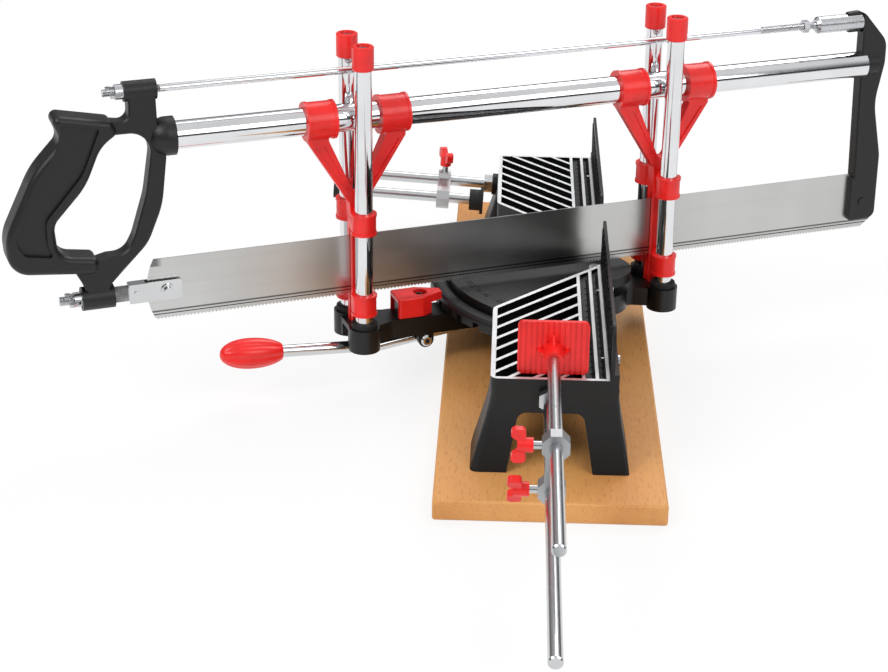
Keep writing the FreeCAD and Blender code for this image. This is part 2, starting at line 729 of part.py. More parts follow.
def clamp_place(x, y, z, turn=None):
    """A placement in the clamp's own frame: its origin is where the rod leaves the casting."""
    tilt = Rotation(Vector(1, 0, 0), -SIZE["clamp_tilt"].value)
    spot = Vector(number(SIZE["clamp_x"]), -number(SIZE["table_front"]), number(SIZE["clamp_height"]))
    return Placement(spot, tilt).multiply(Placement(Vector(x, y, z), turn or Rotation()))


def drill_casting(body):
    """Bosses and holes for the stop rod, the clamp rod and the screws."""
    boss = new_sketch(body, "YZ_Plane", SIZE["table_half"] - 12)
    circle(boss, SIZE["stop_y"], SIZE["stop_low"], 9)
    pad(body, boss, 10)
    hole = new_sketch(body, "YZ_Plane", SIZE["table_half"] - 14)
    circle(hole, SIZE["stop_y"], SIZE["stop_low"], SIZE["stop_radius"])
    pocket(body, hole, 24, back=True)
    for kind, radius, start, length in (("Additive", 8.5, -3, 8), ("Subtractive", SIZE["stop_radius"], -7, 20)):
        rod = body.newObject(f"PartDesign::{kind}Cylinder", "table_casting_clamp")
        rod.Radius = number(radius)
        bind(rod, "Radius", radius)
        rod.Height = length
        rod.Placement = clamp_place(0, -start, 0, Rotation(Vector(1, 0, 0), 90))
        document.recompute()
    feet = new_sketch(body, "XY_Plane", SIZE["board_thick"])
    for x, y in foot_screws():
        circle(feet, x, y, 2.2)
    pocket(body, feet, 20, back=True)
    fence = new_sketch(body, "XZ_Plane", -SIZE["fence_face"])
    for x in fence_screw_places():
        circle(fence, x, SIZE["fence_seat"] + 4, 2)
    pocket(body, fence, 4.5, back=True)


def fence_screw_places():
    return [sign * place for sign in (-1, 1) for place in (SIZE["slot_outer"] - 40, SIZE["table_half"] - 40)]


# Fences

def make_fence(label, side):
    """Thin plate on a thicker foot, with slanted ribs on its working face."""
    body = new_body(label)
    face = -SIZE["fence_face"]
    start = side * SIZE["fence_start"]
    end = side * SIZE["table_half"]
    low = SIZE["fence_seat"]
    step = SIZE["fence_step"]
    high = SIZE["fence_top"]
    foot = new_sketch(body, "XZ_Plane", face)
    rectangle(foot, start, low, end, step)
    pad(body, foot, SIZE["fence_foot"], back=True)
    sketch = new_sketch(body, "XZ_Plane", face - SIZE["fence_rib"])
    outline(sketch, [(start, low), (end, low), (end, high, 9), (start, high, 7)])
    pad(body, sketch, SIZE["fence_thick"] - SIZE["fence_rib"], back=True)
    ribs = new_sketch(body, "XZ_Plane", face)
    count = 17
    pitch = (number(end) - number(start) - side * 12) / count
    for k in range(count):
        x = number(start) + side * 4 + pitch * k
        plain_outline(ribs, [
            (x, number(step) - 1), (x + side * 2, number(step) - 1),
            (x + side * 8, number(high) - 4), (x + side * 6, number(high) - 4),
        ])
    pad(body, ribs, SIZE["fence_rib"] + 0.2, back=True)
    holes = new_sketch(body, "XZ_Plane", face)
    for x in fence_screw_places():
        if number(x) * side > 0:
            circle(holes, x, low + 4, 2)
    pocket(body, holes, SIZE["fence_foot"])


def make_fence_screws():
    body = new_body("fence_screws")
    back = -(SIZE["fence_face"] + SIZE["fence_foot"])
    shanks = new_sketch(body, "XZ_Plane", back)
    heads = new_sketch(body, "XZ_Plane", back)
    for x in fence_screw_places():
        circle(shanks, x, SIZE["fence_seat"] + 4, 2)
        circle(heads, x, SIZE["fence_seat"] + 4, 3.8)
    pad(body, shanks, SIZE["fence_foot"] + 4)
    pad(body, heads, 2, back=True)


# Pivot

def make_pivot():
    low = 21
    bar("pivot_bolt", "XY_Plane", 0, 0, low, SIZE["quadrant_top"] - low + 0.6, SIZE["pivot_radius"], bevel=0.6)
    bar("pivot_washer", "XY_Plane", 0, 0, SIZE["arm_bottom"] - 1.6, 1.6, 11, bore=SIZE["pivot_radius"])
    nut = new_body("pivot_nut")
    sketch = new_sketch(nut, "XY_Plane", SIZE["arm_bottom"] - 9.6)
    hexagon(sketch, 0, 0, 16)
    circle(sketch, 0, 0, SIZE["pivot_radius"])
    pad(nut, sketch, 8)


# Swinging arm

def post_places():
    """(label, across, along) of the four posts."""
    across = SIZE["post_offset"]
    return [
        ("front_near", across, -SIZE["front_reach"]),
        ("front_far", -across, -SIZE["front_reach"]),
        ("rear_near", across, SIZE["rear_reach"]),
        ("rear_far", -across, SIZE["rear_reach"]),
    ]


def make_swing_arm():
    body = new_body("swing_arm", turned=True)
    low = SIZE["arm_bottom"]
    half = SIZE["arm_half"]
    end = -SIZE["arm_end"]
    tail = SIZE["arm_tail"]
    wide = SIZE["post_offset"]
    beam = new_sketch(body, "XY_Plane", low)
    outline(beam, [
        (half, 0), (half, end + 30, 8), (wide, end + 15), (wide, end), (-wide, end), (-wide, end + 15),
        (-half, end + 30, 8), (-half, 0), (-half + 1, tail - 30, 6), (-wide, tail - 16), (-wide, tail),
        (wide, tail), (wide, tail - 16), (half - 1, tail - 30, 6),
    ])
    pad(body, beam, SIZE["arm_top"] - low)
    bosses = new_sketch(body, "XY_Plane", SIZE["boss_bottom"])
    for name, x, y in post_places():
        circle(bosses, x, y, SIZE["boss_radius"])
    pad(body, bosses, SIZE["boss_top"] - SIZE["boss_bottom"])
    hub = new_sketch(body, "XY_Plane", low)
    circle(hub, 0, 0, SIZE["hub_arm"])
    pad(body, hub, SIZE["hub_bottom"] - low)
    lug = new_sketch(body, "YZ_Plane")
    radius = SIZE["lug_radius"]
    reach = -SIZE["lever_reach"]
    height = SIZE["lever_height"]
    circle(lug, reach, height, radius)
    pad(body, lug, half * 2, both=True)
    lug = new_sketch(body, "YZ_Plane")
    rectangle(lug, reach - radius, height, reach + radius, low + 3)
    pad(body, lug, half * 2, both=True)
    channel = new_sketch(body, "XZ_Plane", SIZE["hub_arm"] + 6)
    rectangle(
        channel, -SIZE["channel_half"], SIZE["lever_height"] - 10, SIZE["channel_half"], SIZE["channel_top"],
    )
    pocket(body, channel, SIZE["arm_end"] - SIZE["hub_arm"] + 4, back=True)
    window = new_sketch(body, "XY_Plane", SIZE["arm_top"])
    toe = -SIZE["toe_reach"]
    rectangle(window, -SIZE["lever_radius"] - 0.6, toe - 5.4, SIZE["lever_radius"] + 0.6, toe + 8)
    pocket(body, window, SIZE["arm_top"] - SIZE["channel_top"] + 1)
    seats = new_sketch(body, "XY_Plane", SIZE["boss_top"])
    screws = new_sketch(body, "XY_Plane", SIZE["boss_top"])
    heads = new_sketch(body, "XY_Plane", SIZE["boss_bottom"])
    for name, x, y in post_places():
        circle(seats, x, y, SIZE["post_radius"])
        circle(screws, x, y, SIZE["screw_radius"])
        circle(heads, x, y, SIZE["head_radius"] + 0.4)
    pocket(body, seats, SIZE["boss_top"] - SIZE["post_seat"])
    pocket(body, screws, SIZE["boss_top"] - SIZE["boss_bottom"])
    pocket(body, heads, 2.4, back=True)
    pins = new_sketch(body, "YZ_Plane")
    circle(pins, reach, height, SIZE["lever_pin_radius"])
    pocket(body, pins, half * 2 + 2, both=True)
    bore = new_sketch(body, "XY_Plane", SIZE["hub_bottom"])
    circle(bore, 0, 0, SIZE["pivot_radius"] + SIZE["running_gap"])
    circle_peg = new_sketch(body, "XY_Plane", SIZE["arm_top"])
    circle(circle_peg, 0, -SIZE["peg_reach"], SIZE["peg_radius"])
    pocket(body, bore, SIZE["hub_bottom"] - low)
    pocket(body, circle_peg, SIZE["arm_top"] - SIZE["channel_top"])
    rest = new_sketch(body, "XZ_Plane", SIZE["latch_tail"] - 4)
    rectangle(rest, -4, SIZE["arm_top"] - 1, 4, SIZE["latch_top"] - 4.5)
    pad(body, rest, 2.4)


def make_posts():
    for name, x, y in post_places():
        post = bar(
            "post_" + name, "XY_Plane", x, y, SIZE["post_seat"], SIZE["post_top"] - SIZE["post_seat"],
            SIZE["post_radius"], turned=True,
        )
        thread = new_sketch(post, "XY_Plane", SIZE["post_seat"])
        circle(thread, x, y, SIZE["screw_radius"])
        pocket(post, thread, 12, back=True)
        cap = bar(
            "cap_" + name, "XY_Plane", x, y, SIZE["cap_bottom"], SIZE["cap_top"] - SIZE["cap_bottom"],
            SIZE["cap_radius"], turned=True, bore=SIZE["cap_window"],
        )
        bore = new_sketch(cap, "XY_Plane", SIZE["cap_bottom"])
        circle(bore, x, y, SIZE["post_radius"])
        pocket(cap, bore, SIZE["post_top"] - SIZE["cap_bottom"], back=True)
        outer = SIZE["cap_radius"].value
        dress(cap, "Chamfer", 0.7, lambda e: is_circle(e) and near(e.Curve.Radius, outer))
    bumpers = new_body("post_bumpers", turned=True)
    rings = new_sketch(bumpers, "XY_Plane", SIZE["boss_top"])
    for name, x, y in post_places():
        circle(rings, x, y, SIZE["bumper_radius"])
        circle(rings, x, y, SIZE["post_radius"])
    pad(bumpers, rings, SIZE["bumper_top"] - SIZE["boss_top"])
    screws = new_body("post_screws", turned=True)
    heads = new_sketch(screws, "XY_Plane", SIZE["boss_bottom"] + 0.1)
    shanks = new_sketch(screws, "XY_Plane", SIZE["boss_bottom"] + 2)
    for name, x, y in post_places():
        circle(heads, x, y, SIZE["head_radius"])
        circle(shanks, x, y, SIZE["screw_radius"])
    pad(screws, heads, 2.3)
    pad(screws, shanks, 13)


# Lock lever

def make_lever():
    body = new_body("lock_lever", turned=True)
    slope = math.tan(math.radians(SIZE["grip_tilt"].value))
    bend = -164.0
    grip = (-SIZE["grip_reach"].value, SIZE["grip_height"].value)
    low = (bend, grip[1] - (bend - grip[0]) * slope)
    pin = (-SIZE["lever_reach"].value, SIZE["lever_height"].value)
    rise = (pin[1] - low[1]) / (pin[0] - low[0])
    toe = -SIZE["toe_reach"].value
    corner = (toe, low[1] + (toe - low[0]) * rise)
    top = (toe, SIZE["rim_bottom"].value - SIZE["clear_gap"].value)
    for start, end in ((grip, low), (low, corner), (corner, top)):
        rod = body.newObject("PartDesign::AdditiveCylinder", "lock_lever_bar")
        rod.Radius = SIZE["lever_radius"].value
        bind(rod, "Radius", SIZE["lever_radius"])
        run = Vector(0, end[0] - start[0], end[1] - start[1])
        rod.Height = run.Length
        rod.Placement = Placement(Vector(0, *start), Rotation(Vector(0, 0, 1), run))
    for spot in (low, corner):
        ball = body.newObject("PartDesign::AdditiveSphere", "lock_lever_bend")
        ball.Radius = SIZE["lever_radius"].value
        bind(ball, "Radius", SIZE["lever_radius"])
        ball.Placement = Placement(Vector(0, *spot), Rotation())
    document.recompute()
    hole = new_sketch(body, "YZ_Plane")
    circle(hole, -SIZE["lever_reach"], SIZE["lever_height"], SIZE["lever_pin_radius"] + SIZE["running_gap"])
    pocket(body, hole, 20, both=True)

    pin = bar(
        "lever_pin", "YZ_Plane", -SIZE["lever_reach"], SIZE["lever_height"], -SIZE["arm_half"],
        SIZE["arm_half"] * 2, SIZE["lever_pin_radius"], turned=True,
    )
    head = new_sketch(pin, "YZ_Plane", SIZE["arm_half"])
    circle(head, -SIZE["lever_reach"], SIZE["lever_height"], 4.2)
    pad(pin, head, 2.4)
    dress(pin, "Chamfer", 1.2, lambda e: is_circle(e) and near(e.Curve.Radius, 4.2)
          and near(e.CenterOfMass.x, SIZE["arm_half"] + 2.4))


def make_lever_grip():
    """Oval grip drawn about its own axis, then laid along the lever."""
    body = document.addObject("PartDesign::Body", "lever_grip")
    body.Label = "lever_grip"
    profile = new_sketch(body, "XY_Plane")
    half = SIZE["grip_length"].value / 2
    big = SIZE["grip_radius"].value
    neck = SIZE["lever_radius"].value
    plain_outline(profile, [
        (0, -half), (big * 0.42, -half * 0.96), (big * 0.7, -half * 0.83), (big * 0.89, -half * 0.58),
        (big * 0.98, -half * 0.28), (big, 0), (big * 0.97, half * 0.3), (big * 0.87, half * 0.6),
        (big * 0.72, half * 0.84), (neck + 1.2, half), (0, half),
    ])
    revolve(body, profile)
    bore = new_sketch(body, "XZ_Plane", -SIZE["grip_length"] / 2)
    circle(bore, 0, 0, SIZE["lever_radius"])
    pocket(body, bore, SIZE["grip_length"] / 2, back=True)
    swing = Rotation(Vector(0, 0, 1), SIZE["rest_swing"].value)
    tilt = Rotation(Vector(1, 0, 0), -SIZE["grip_tilt"].value)
    spot = swing.multVec(Vector(0, -SIZE["grip_reach"].value, SIZE["grip_height"].value))
    body.Placement = Placement(spot, swing.multiply(tilt))


# Latch

def make_latch():
    body = new_body("latch_button", turned=True)
    top = SIZE["latch_top"]
    low = SIZE["arm_top"] + SIZE["clear_gap"]
    half = SIZE["latch_half"]
    tail = -SIZE["latch_tail"]
    shoulder = -SIZE["latch_shoulder"]
    nose = -(SIZE["rim_radius"] + SIZE["clear_gap"])
    tip = SIZE["latch_nose"]
    skin = SIZE["latch_skin"]
    plate = new_sketch(body, "XY_Plane", top - 6)
    outline(plate, [
        (-half, tail, 2), (half, tail, 2), (half, shoulder), (tip, nose), (-tip, nose), (-half, shoulder),
    ])
    pad(body, plate, 6)
    sides = new_sketch(body, "XY_Plane", low)
    outline(sides, [
        (-half, tail, 2), (half, tail, 2), (half, shoulder), (half * 0.62, shoulder + 7.5),
        (-half * 0.62, shoulder + 7.5), (-half, shoulder),
    ])
    pad(body, sides, top - low - 3)
    hollow = new_sketch(body, "XY_Plane", low)
    outline(hollow, [
        (skin - half, tail - 2), (half - skin, tail - 2), (half - skin, shoulder - 0.5),
        (half * 0.62 - skin, shoulder + 6.2), (skin - half * 0.62, shoulder + 6.2),
        (skin - half, shoulder - 0.5),
    ])
    pocket(body, hollow, top - low - 3, back=True)
    hole = new_sketch(body, "XY_Plane", top)
    reach = SIZE["peg_reach"] - (SIZE["latch_travel"] / 2)
    circle(hole, 0, -reach, SIZE["peg_radius"] + SIZE["latch_travel"] / 2 + SIZE["clear_gap"])
    pocket(body, hole, 8)
    rib = new_sketch(body, "XZ_Plane", SIZE["peg_reach"] + 4.6)
    rectangle(rib, -4, low + 1, 4, top - 2)
    pad(body, rib, 1.4)
    dress(body, "Fillet", 1, lambda e: near(e.BoundBox.ZMin, top) and near(e.BoundBox.ZMax, top)
          and not is_circle(e) and e.Length > 5)

    bar(
        "latch_peg", "XY_Plane", 0, -SIZE["peg_reach"], SIZE["channel_top"],
        top - SIZE["channel_top"] - 1.5, SIZE["peg_radius"], turned=True, bore=SIZE["peg_radius"] - 1.1,
    )
    make_spring()


def make_spring():
    """Coil between the arm's upstand and the rib inside the latch."""
    start = -(SIZE["latch_tail"].value - 4)
    end = -(SIZE["peg_reach"].value + 6.0)
    radius = SIZE["spring_radius"]
    wire = SIZE["spring_wire"] / 2
    height = (SIZE["arm_top"].value + SIZE["latch_top"].value) / 2
    body = document.addObject("PartDesign::Body", "latch_spring")
    body.Label = "latch_spring"
    profile = new_sketch(body, "XZ_Plane")
    rectangle(profile, radius - wire, -wire, radius + wire, wire)
    coil = body.newObject("PartDesign::AdditiveHelix", "latch_spring_coil")
    coil.Profile = profile
    coil.ReferenceAxis = (profile, ["V_Axis"])
    coil.Mode = "height-turns-growth"
    coil.Height = end - start - 2 * number(wire)
    coil.Turns = 4
    swing = Rotation(Vector(0, 0, 1), SIZE["rest_swing"].value)
    lay = Rotation(Vector(1, 0, 0), -90)
    spot = swing.multVec(Vector(0, start + number(wire), height))
    body.Placement = Placement(spot, swing.multiply(lay))
    document.recompute()


# Guides

def make_guide(label, along):
    body = new_body(label, turned=True)
    ring = SIZE["ring_spread"]
    long = SIZE["ring_length"]
    level = SIZE["tube_height"]
    lip = SIZE["lip"]
    for side in (-1, 1):
        start = -(along + side * ring) - long / 2
        sketch = new_sketch(body, "XZ_Plane", start)
        circle(sketch, 0, level, SIZE["ring_radius"] - lip)
        pad(body, sketch, long)
        for edge in (start, start + long - 2):
            rim = new_sketch(body, "XZ_Plane", edge)
            circle(rim, 0, level, SIZE["ring_radius"])
            pad(body, rim, 2)
    vee = new_sketch(body, "YZ_Plane")
    under = level - SIZE["ring_radius"] + 4
    low = SIZE["high_collar"] + SIZE["collar_height"]
    stem = SIZE["stem_half"]
    outer = ring + long / 2 - 1.8
    inner = ring - long / 2 + 4.6
    outline(vee, [
        (along - outer, under), (along - outer, under - 5.5), (along - stem - 1.2, low + 3),
        (along - stem, SIZE["high_collar"]), (along + stem, SIZE["high_collar"]), (along + stem + 1.2, low + 3),
        (along + outer, under - 5.5), (along + outer, under), (along + inner, under), (along + inner, under - 4.5),
        (along + 2.6, low + 10, 2), (along - 2.6, low + 10, 2), (along - inner, under - 4.5), (along - inner, under),
    ])
    pad(body, vee, SIZE["arm_plate"], both=True)
    for side in (-1, 1):
        panel = new_sketch(body, "YZ_Plane", side * SIZE["arm_plate"] / 2)
        for way in (-1, 1):
            outline(panel, [
                (along + way * (outer - 4.6), under - 8), (along + way * (inner + 3), under - 8),
                (along + way * 6.2, low + 13), (along + way * 8.6, low + 13),
            ])
        pocket(body, panel, 1, back=side < 0)
    spine = new_sketch(body, "YZ_Plane")
    rectangle(spine, along - stem, SIZE["arm_top"], along + stem, low)
    pad(body, spine, SIZE["stem_out"] * 2, both=True)
    for level_low in (SIZE["low_collar"], SIZE["high_collar"]):
        for start, tall, radius in ((level_low, SIZE["collar_height"], SIZE["collar_radius"] - lip),
                                    (level_low, 1.8, SIZE["collar_radius"]),
                                    (level_low + SIZE["collar_height"] - 1.8, 1.8, SIZE["collar_radius"])):
            collars = new_sketch(body, "XY_Plane", start)
            for side in (-1, 1):
                circle(collars, side * SIZE["post_offset"], along, radius)
            pad(body, collars, tall)
        web = new_sketch(body, "XY_Plane", level_low)
        rectangle(web, -SIZE["post_offset"] + 4, along - 3.4, SIZE["post_offset"] - 4, along + 3.4)
        pad(body, web, SIZE["collar_height"])
    slot = new_sketch(body, "XZ_Plane", -along)
    rectangle(slot, -SIZE["blade_slot"], SIZE["arm_top"] - 1, SIZE["blade_slot"], SIZE["slot_top"])
    pocket(body, slot, 30, both=True)
    bores = new_sketch(body, "XY_Plane", SIZE["low_collar"] - 1)
    for side in (-1, 1):
        circle(bores, side * SIZE["post_offset"], along, SIZE["post_radius"] + SIZE["running_gap"])
    pocket(body, bores, low - SIZE["low_collar"] + 4, back=True)
    bore = new_sketch(body, "XZ_Plane", -along)
    circle(bore, 0, level, SIZE["tube_radius"] + SIZE["running_gap"])
    pocket(body, bore, outer * 2 + 4, both=True)


# Saw frame

def make_tube_and_rod():
    bar(
        "frame_tube", "XZ_Plane", 0, SIZE["tube_height"], -SIZE["tube_back"], SIZE["tube_back"] + SIZE["tube_front"],
        SIZE["tube_radius"], turned=True, bore=SIZE["tube_radius"] - SIZE["tube_wall"],
    )
    start = SIZE["upper_lug_back"] + SIZE["lug_length"] + SIZE["nut_length"] + 4
    bar(
        "tension_rod", "XZ_Plane", 0, SIZE["rod_height"], -(SIZE["clevis_start"] + 12),
        start + SIZE["clevis_start"] + 12, SIZE["rod_radius"], turned=True, bevel=0.6,
    )
    nut = new_body("rod_lock_nut", turned=True)
    sketch = new_sketch(nut, "XZ_Plane", -(SIZE["clevis_start"] - 6))
    hexagon(sketch, 0, SIZE["rod_height"], 8)
    circle(sketch, 0, SIZE["rod_height"], SIZE["rod_radius"])
    pad(nut, sketch, 4)


def make_clevis():
    body = new_body("rod_clevis", turned=True)
    level = SIZE["rod_height"]
    sketch = new_sketch(body, "XZ_Plane", -SIZE["clevis_end"])
    circle(sketch, 0, level, SIZE["clevis_radius"])
    pad(body, sketch, SIZE["clevis_end"] - SIZE["clevis_start"])
    front = SIZE["clevis_start"]
    dress(body, "Chamfer", 2, lambda e: is_circle(e) and near(e.CenterOfMass.y, front))
    bore = new_sketch(body, "XZ_Plane", -SIZE["clevis_start"])
    circle(bore, 0, level, SIZE["rod_radius"])
    pocket(body, bore, 14)
    slot = new_sketch(body, "XY_Plane", level)
    rectangle(
        slot, -SIZE["clevis_slot"], SIZE["clevis_end"] - 12, SIZE["clevis_slot"], SIZE["clevis_end"] + 2,
    )
    pocket(body, slot, SIZE["clevis_radius"] * 2 + 2, both=True)
    hole = new_sketch(body, "YZ_Plane")
    circle(hole, SIZE["clevis_pin_at"], level - 1, SIZE["clevis_pin"])
    pocket(body, hole, 20, both=True)
    bar(
        "clevis_pin", "YZ_Plane", SIZE["clevis_pin_at"], level - 1, -SIZE["clevis_radius"],
        SIZE["clevis_radius"] * 2, SIZE["clevis_pin"], turned=True,
    )


HANDLE_OUTLINE = [
    (-315.8, 229), (-315.4, 210, 14), (-310, 188, 30), (-314.5, 152, 60), (-325, 127, 30), (-351.5, 100.5, 4),
    (-351.5, 92), (-366, 92), (-369, 102, 8), (-376, 115.5), (-397, 128), (-402, 140), (-392, 166),
    (-372, 200), (-366, 207.5), (-350, 212.4), (-333.6, 209.8, 6), (-333.6, 229),
]
HANDLE_OPENING = [
    (-340.5, 120.4, 12), (-334.2, 132, 22), (-325.2, 160, 60), (-318.2, 202.6, 13.5), (-356, 202.6),
    (-371, 172), (-389, 148), (-389, 135), (-378, 121), (-362, 118), (-352, 120.4),
]
GRIP_OUTLINE = [
    (-345.5, 212.8, 4.2), (-385.3, 221, 4.4), (-378.2, 203.6, 8), (-397.3, 183.4, 60), (-418.2, 141, 30),
    (-416.4, 116.6, 15), (-361, 110.7, 4.2), (-358, 121.4, 4.2), (-384.5, 125.4, 11), (-386.2, 147.4, 11),
    (-364, 171.4, 50), (-353.2, 196.4, 25), (-341.5, 204.6, 4.2),
]
GRIP_PANEL = [
    (-377.2, 214.2, 1.5), (-353.6, 209.2, 1.5), (-366, 180, 30), (-391.5, 151, 8), (-391.5, 136, 6),
    (-388.2, 126, 1.5), (-406.5, 129.2, 5), (-412.2, 139, 8), (-403.2, 163.5, 40), (-381, 200, 12),
]


def make_handle():
    body = new_body("handle", turned=True)
    plate = new_sketch(body, "YZ_Plane")
    outline(plate, HANDLE_OUTLINE)
    outline(plate, HANDLE_OPENING)
    pad(body, plate, SIZE["handle_thick"], both=True)
    thin = SIZE["handle_thick"].value / 2
    dress(body, "Chamfer", SIZE["frame_round"], lambda e: near(abs(e.CenterOfMass.x), thin))
    grip = new_sketch(body, "YZ_Plane")
    outline(grip, GRIP_OUTLINE)
    pad(body, grip, SIZE["grip_thick"], both=True)
    thick = SIZE["grip_thick"].value / 2
    dress(body, "Fillet", SIZE["grip_round"], lambda e: near(abs(e.CenterOfMass.x), thick))
    for side in (-1, 1):
        panel = new_sketch(body, "YZ_Plane", side * SIZE["grip_thick"] / 2)
        outline(panel, GRIP_PANEL)
        pocket(body, panel, SIZE["panel_deep"], back=side < 0)
    for level, radius, back in (
        (SIZE["rod_height"], SIZE["upper_lug"], SIZE["upper_lug_back"]),
        (SIZE["pin_height"], SIZE["lower_lug"], SIZE["lower_lug_back"]),
    ):
        lug = new_sketch(body, "XZ_Plane", back)
        circle(lug, 0, level, radius)
        pad(body, lug, SIZE["lug_length"])
    socket = new_sketch(body, "YZ_Plane")
    face = -SIZE["socket_face"]
    radius = SIZE["socket_radius"]
    level = SIZE["tube_height"]
    centre = number(face) - 5
    spots = [Vector(centre, number(level) + number(radius), 0), Vector(number(face), number(level) + number(radius), 0)]
    axis_in = Vector(centre - number(radius), number(level), 0)
    mid = Vector(centre - number(radius) * 0.7071, number(level) + number(radius) * 0.7071, 0)
    socket.addGeometry(Part.LineSegment(spots[0], spots[1]), False)
    socket.addGeometry(Part.LineSegment(spots[1], Vector(number(face), number(level), 0)), False)
    line = socket.addGeometry(Part.LineSegment(Vector(number(face), number(level), 0), axis_in), False)
    socket.addGeometry(Part.Arc(axis_in, mid, spots[0]), False)
    turn = body.newObject("PartDesign::Revolution", "handle_socket")
    turn.Profile = socket
    turn.ReferenceAxis = (socket, [f"Edge{line + 1}"])
    turn.Angle = 360
    document.recompute()
    for role_level, radius, start, depth in (
        (SIZE["tube_height"], SIZE["tube_radius"], -SIZE["socket_face"] * -1 - 1, SIZE["tube_front"] - SIZE["socket_face"] + 1),
        (SIZE["rod_height"], SIZE["rod_radius"] + 0.1, SIZE["upper_lug_back"] - 1, SIZE["lug_length"] + 2),
        (SIZE["pin_height"], SIZE["stud_radius"] + 0.1, SIZE["lower_lug_back"] - 1, SIZE["lug_length"] + 2),
    ):
        bore = new_sketch(body, "XZ_Plane", start)
        circle(bore, 0, role_level, radius)
        pocket(body, bore, depth, back=True)


BRACKET_OUTLINE = [
    (190.2, 236.4, 1.5), (202, 237.2, 8), (222.8, 214, 14), (223.2, 198, 20), (217.6, 168, 45), (226.2, 127, 25),
    (226.7, 77.4, 6), (204, 76.6, 3.5), (203.9, 110.6, 1.2), (206, 110.8), (203.6, 180), (202.8, 222.4, 3),
    (190.2, 222.4, 1.5),
]


def make_end_bracket():
    body = new_body("end_bracket", turned=True)
    plate = new_sketch(body, "YZ_Plane")
    outline(plate, BRACKET_OUTLINE)
    pad(body, plate, SIZE["bracket_thick"], both=True)
    half = SIZE["bracket_thick"].value / 2
    dress(body, "Chamfer", 0.9, lambda e: near(abs(e.CenterOfMass.x), half))
    bore = new_sketch(body, "XZ_Plane", -SIZE["tube_back"])
    circle(bore, 0, SIZE["tube_height"], SIZE["tube_radius"])
    pocket(body, bore, 30, back=True)
    spigot = new_sketch(body, "XZ_Plane", -SIZE["tube_back"] - 10)
    circle(spigot, 0, SIZE["tube_height"], SIZE["tube_radius"] - SIZE["tube_wall"])
    pad(body, spigot, 30)
    bump = new_sketch(body, "YZ_Plane")
    circle(bump, SIZE["back_pin"], SIZE["pin_height"], 3.4)
    pad(body, bump, SIZE["jaw_thick"] + 0.6, both=True)
    for side in (-1, 1):
        cheek = new_sketch(body, "XY_Plane", SIZE["rod_height"] - 9)
        x = side * SIZE["clevis_slot"]
        rectangle(cheek, x - side * 0.3, 185, side * 12, SIZE["clevis_end"] + 0.6)
        pocket(body, cheek, 20, back=True)
    slot = new_sketch(body, "XZ_Plane", -(SIZE["blade_back"] + 1))
    rectangle(slot, -SIZE["jaw_slot"], 60, SIZE["jaw_slot"], SIZE["blade_bottom"] + SIZE["blade_height"] + 0.5)
    pocket(body, slot, 40, back=True)
    hole = new_sketch(body, "YZ_Plane")
    circle(hole, SIZE["back_pin"], SIZE["pin_height"], SIZE["blade_pin"])
    pocket(body, hole, SIZE["jaw_thick"] - 3, both=True)
    hole = new_sketch(body, "YZ_Plane")
    circle(hole, SIZE["clevis_pin_at"], SIZE["rod_height"] - 1, SIZE["clevis_pin"])
    pocket(body, hole, 30, both=True)


def make_blade():
    body = new_body("saw_blade", turned=True)
    sketch = new_sketch(body, "YZ_Plane")
    bottom = SIZE["blade_bottom"].value
    root = bottom + SIZE["tooth_deep"].value
    top = bottom + SIZE["blade_height"].value
    front = -SIZE["blade_front"].value
    back = SIZE["blade_back"].value
    pitch = SIZE["tooth_pitch"].value
    first = front + 5.5
    teeth = int((back - 4 - first) / pitch)
    points = [Vector(front + 5, top, 0), Vector(back - 3, top, 0), Vector(back, bottom + 6, 0)]
    points.append(Vector(first + teeth * pitch, root, 0))
    for k in range(teeth, 0, -1):
        points.append(Vector(first + (k - 0.75) * pitch, bottom, 0))
        points.append(Vector(first + (k - 1) * pitch, root, 0))
    points.append(Vector(first - 1, root, 0))
    for a, b in zip(points, points[1:]):
        sketch.addGeometry(Part.LineSegment(a, b), False)
    sketch.addGeometry(Part.Arc(points[-1], Vector(front, (top + root) / 2 + 4, 0), points[0]), False)
    pad(body, sketch, SIZE["blade_thick"], both=True)
    holes = new_sketch(body, "YZ_Plane")
    circle(holes, -SIZE["front_pin"], SIZE["pin_height"], SIZE["blade_pin"])
    circle(holes, SIZE["back_pin"], SIZE["pin_height"], SIZE["blade_pin"])
    pocket(body, holes, 4, both=True)


def make_blade_pins():
    front = bar(
        "front_blade_pin", "YZ_Plane", -SIZE["front_pin"], SIZE["pin_height"],
        -SIZE["holder_half"] - SIZE["holder_skin"] - 3.4, (SIZE["holder_half"] + SIZE["holder_skin"] + 3.4) * 2,
        SIZE["blade_pin"], turned=True,
    )
    collar = new_sketch(front, "YZ_Plane", SIZE["holder_half"] + SIZE["holder_skin"])
    circle(collar, -SIZE["front_pin"], SIZE["pin_height"], 4.6)
    pad(front, collar, 1.2)
    half = (SIZE["jaw_thick"] - 3) / 2
    bar(
        "rear_blade_pin", "YZ_Plane", SIZE["back_pin"], SIZE["pin_height"], -half, half * 2,
        SIZE["blade_pin"], turned=True,
    )


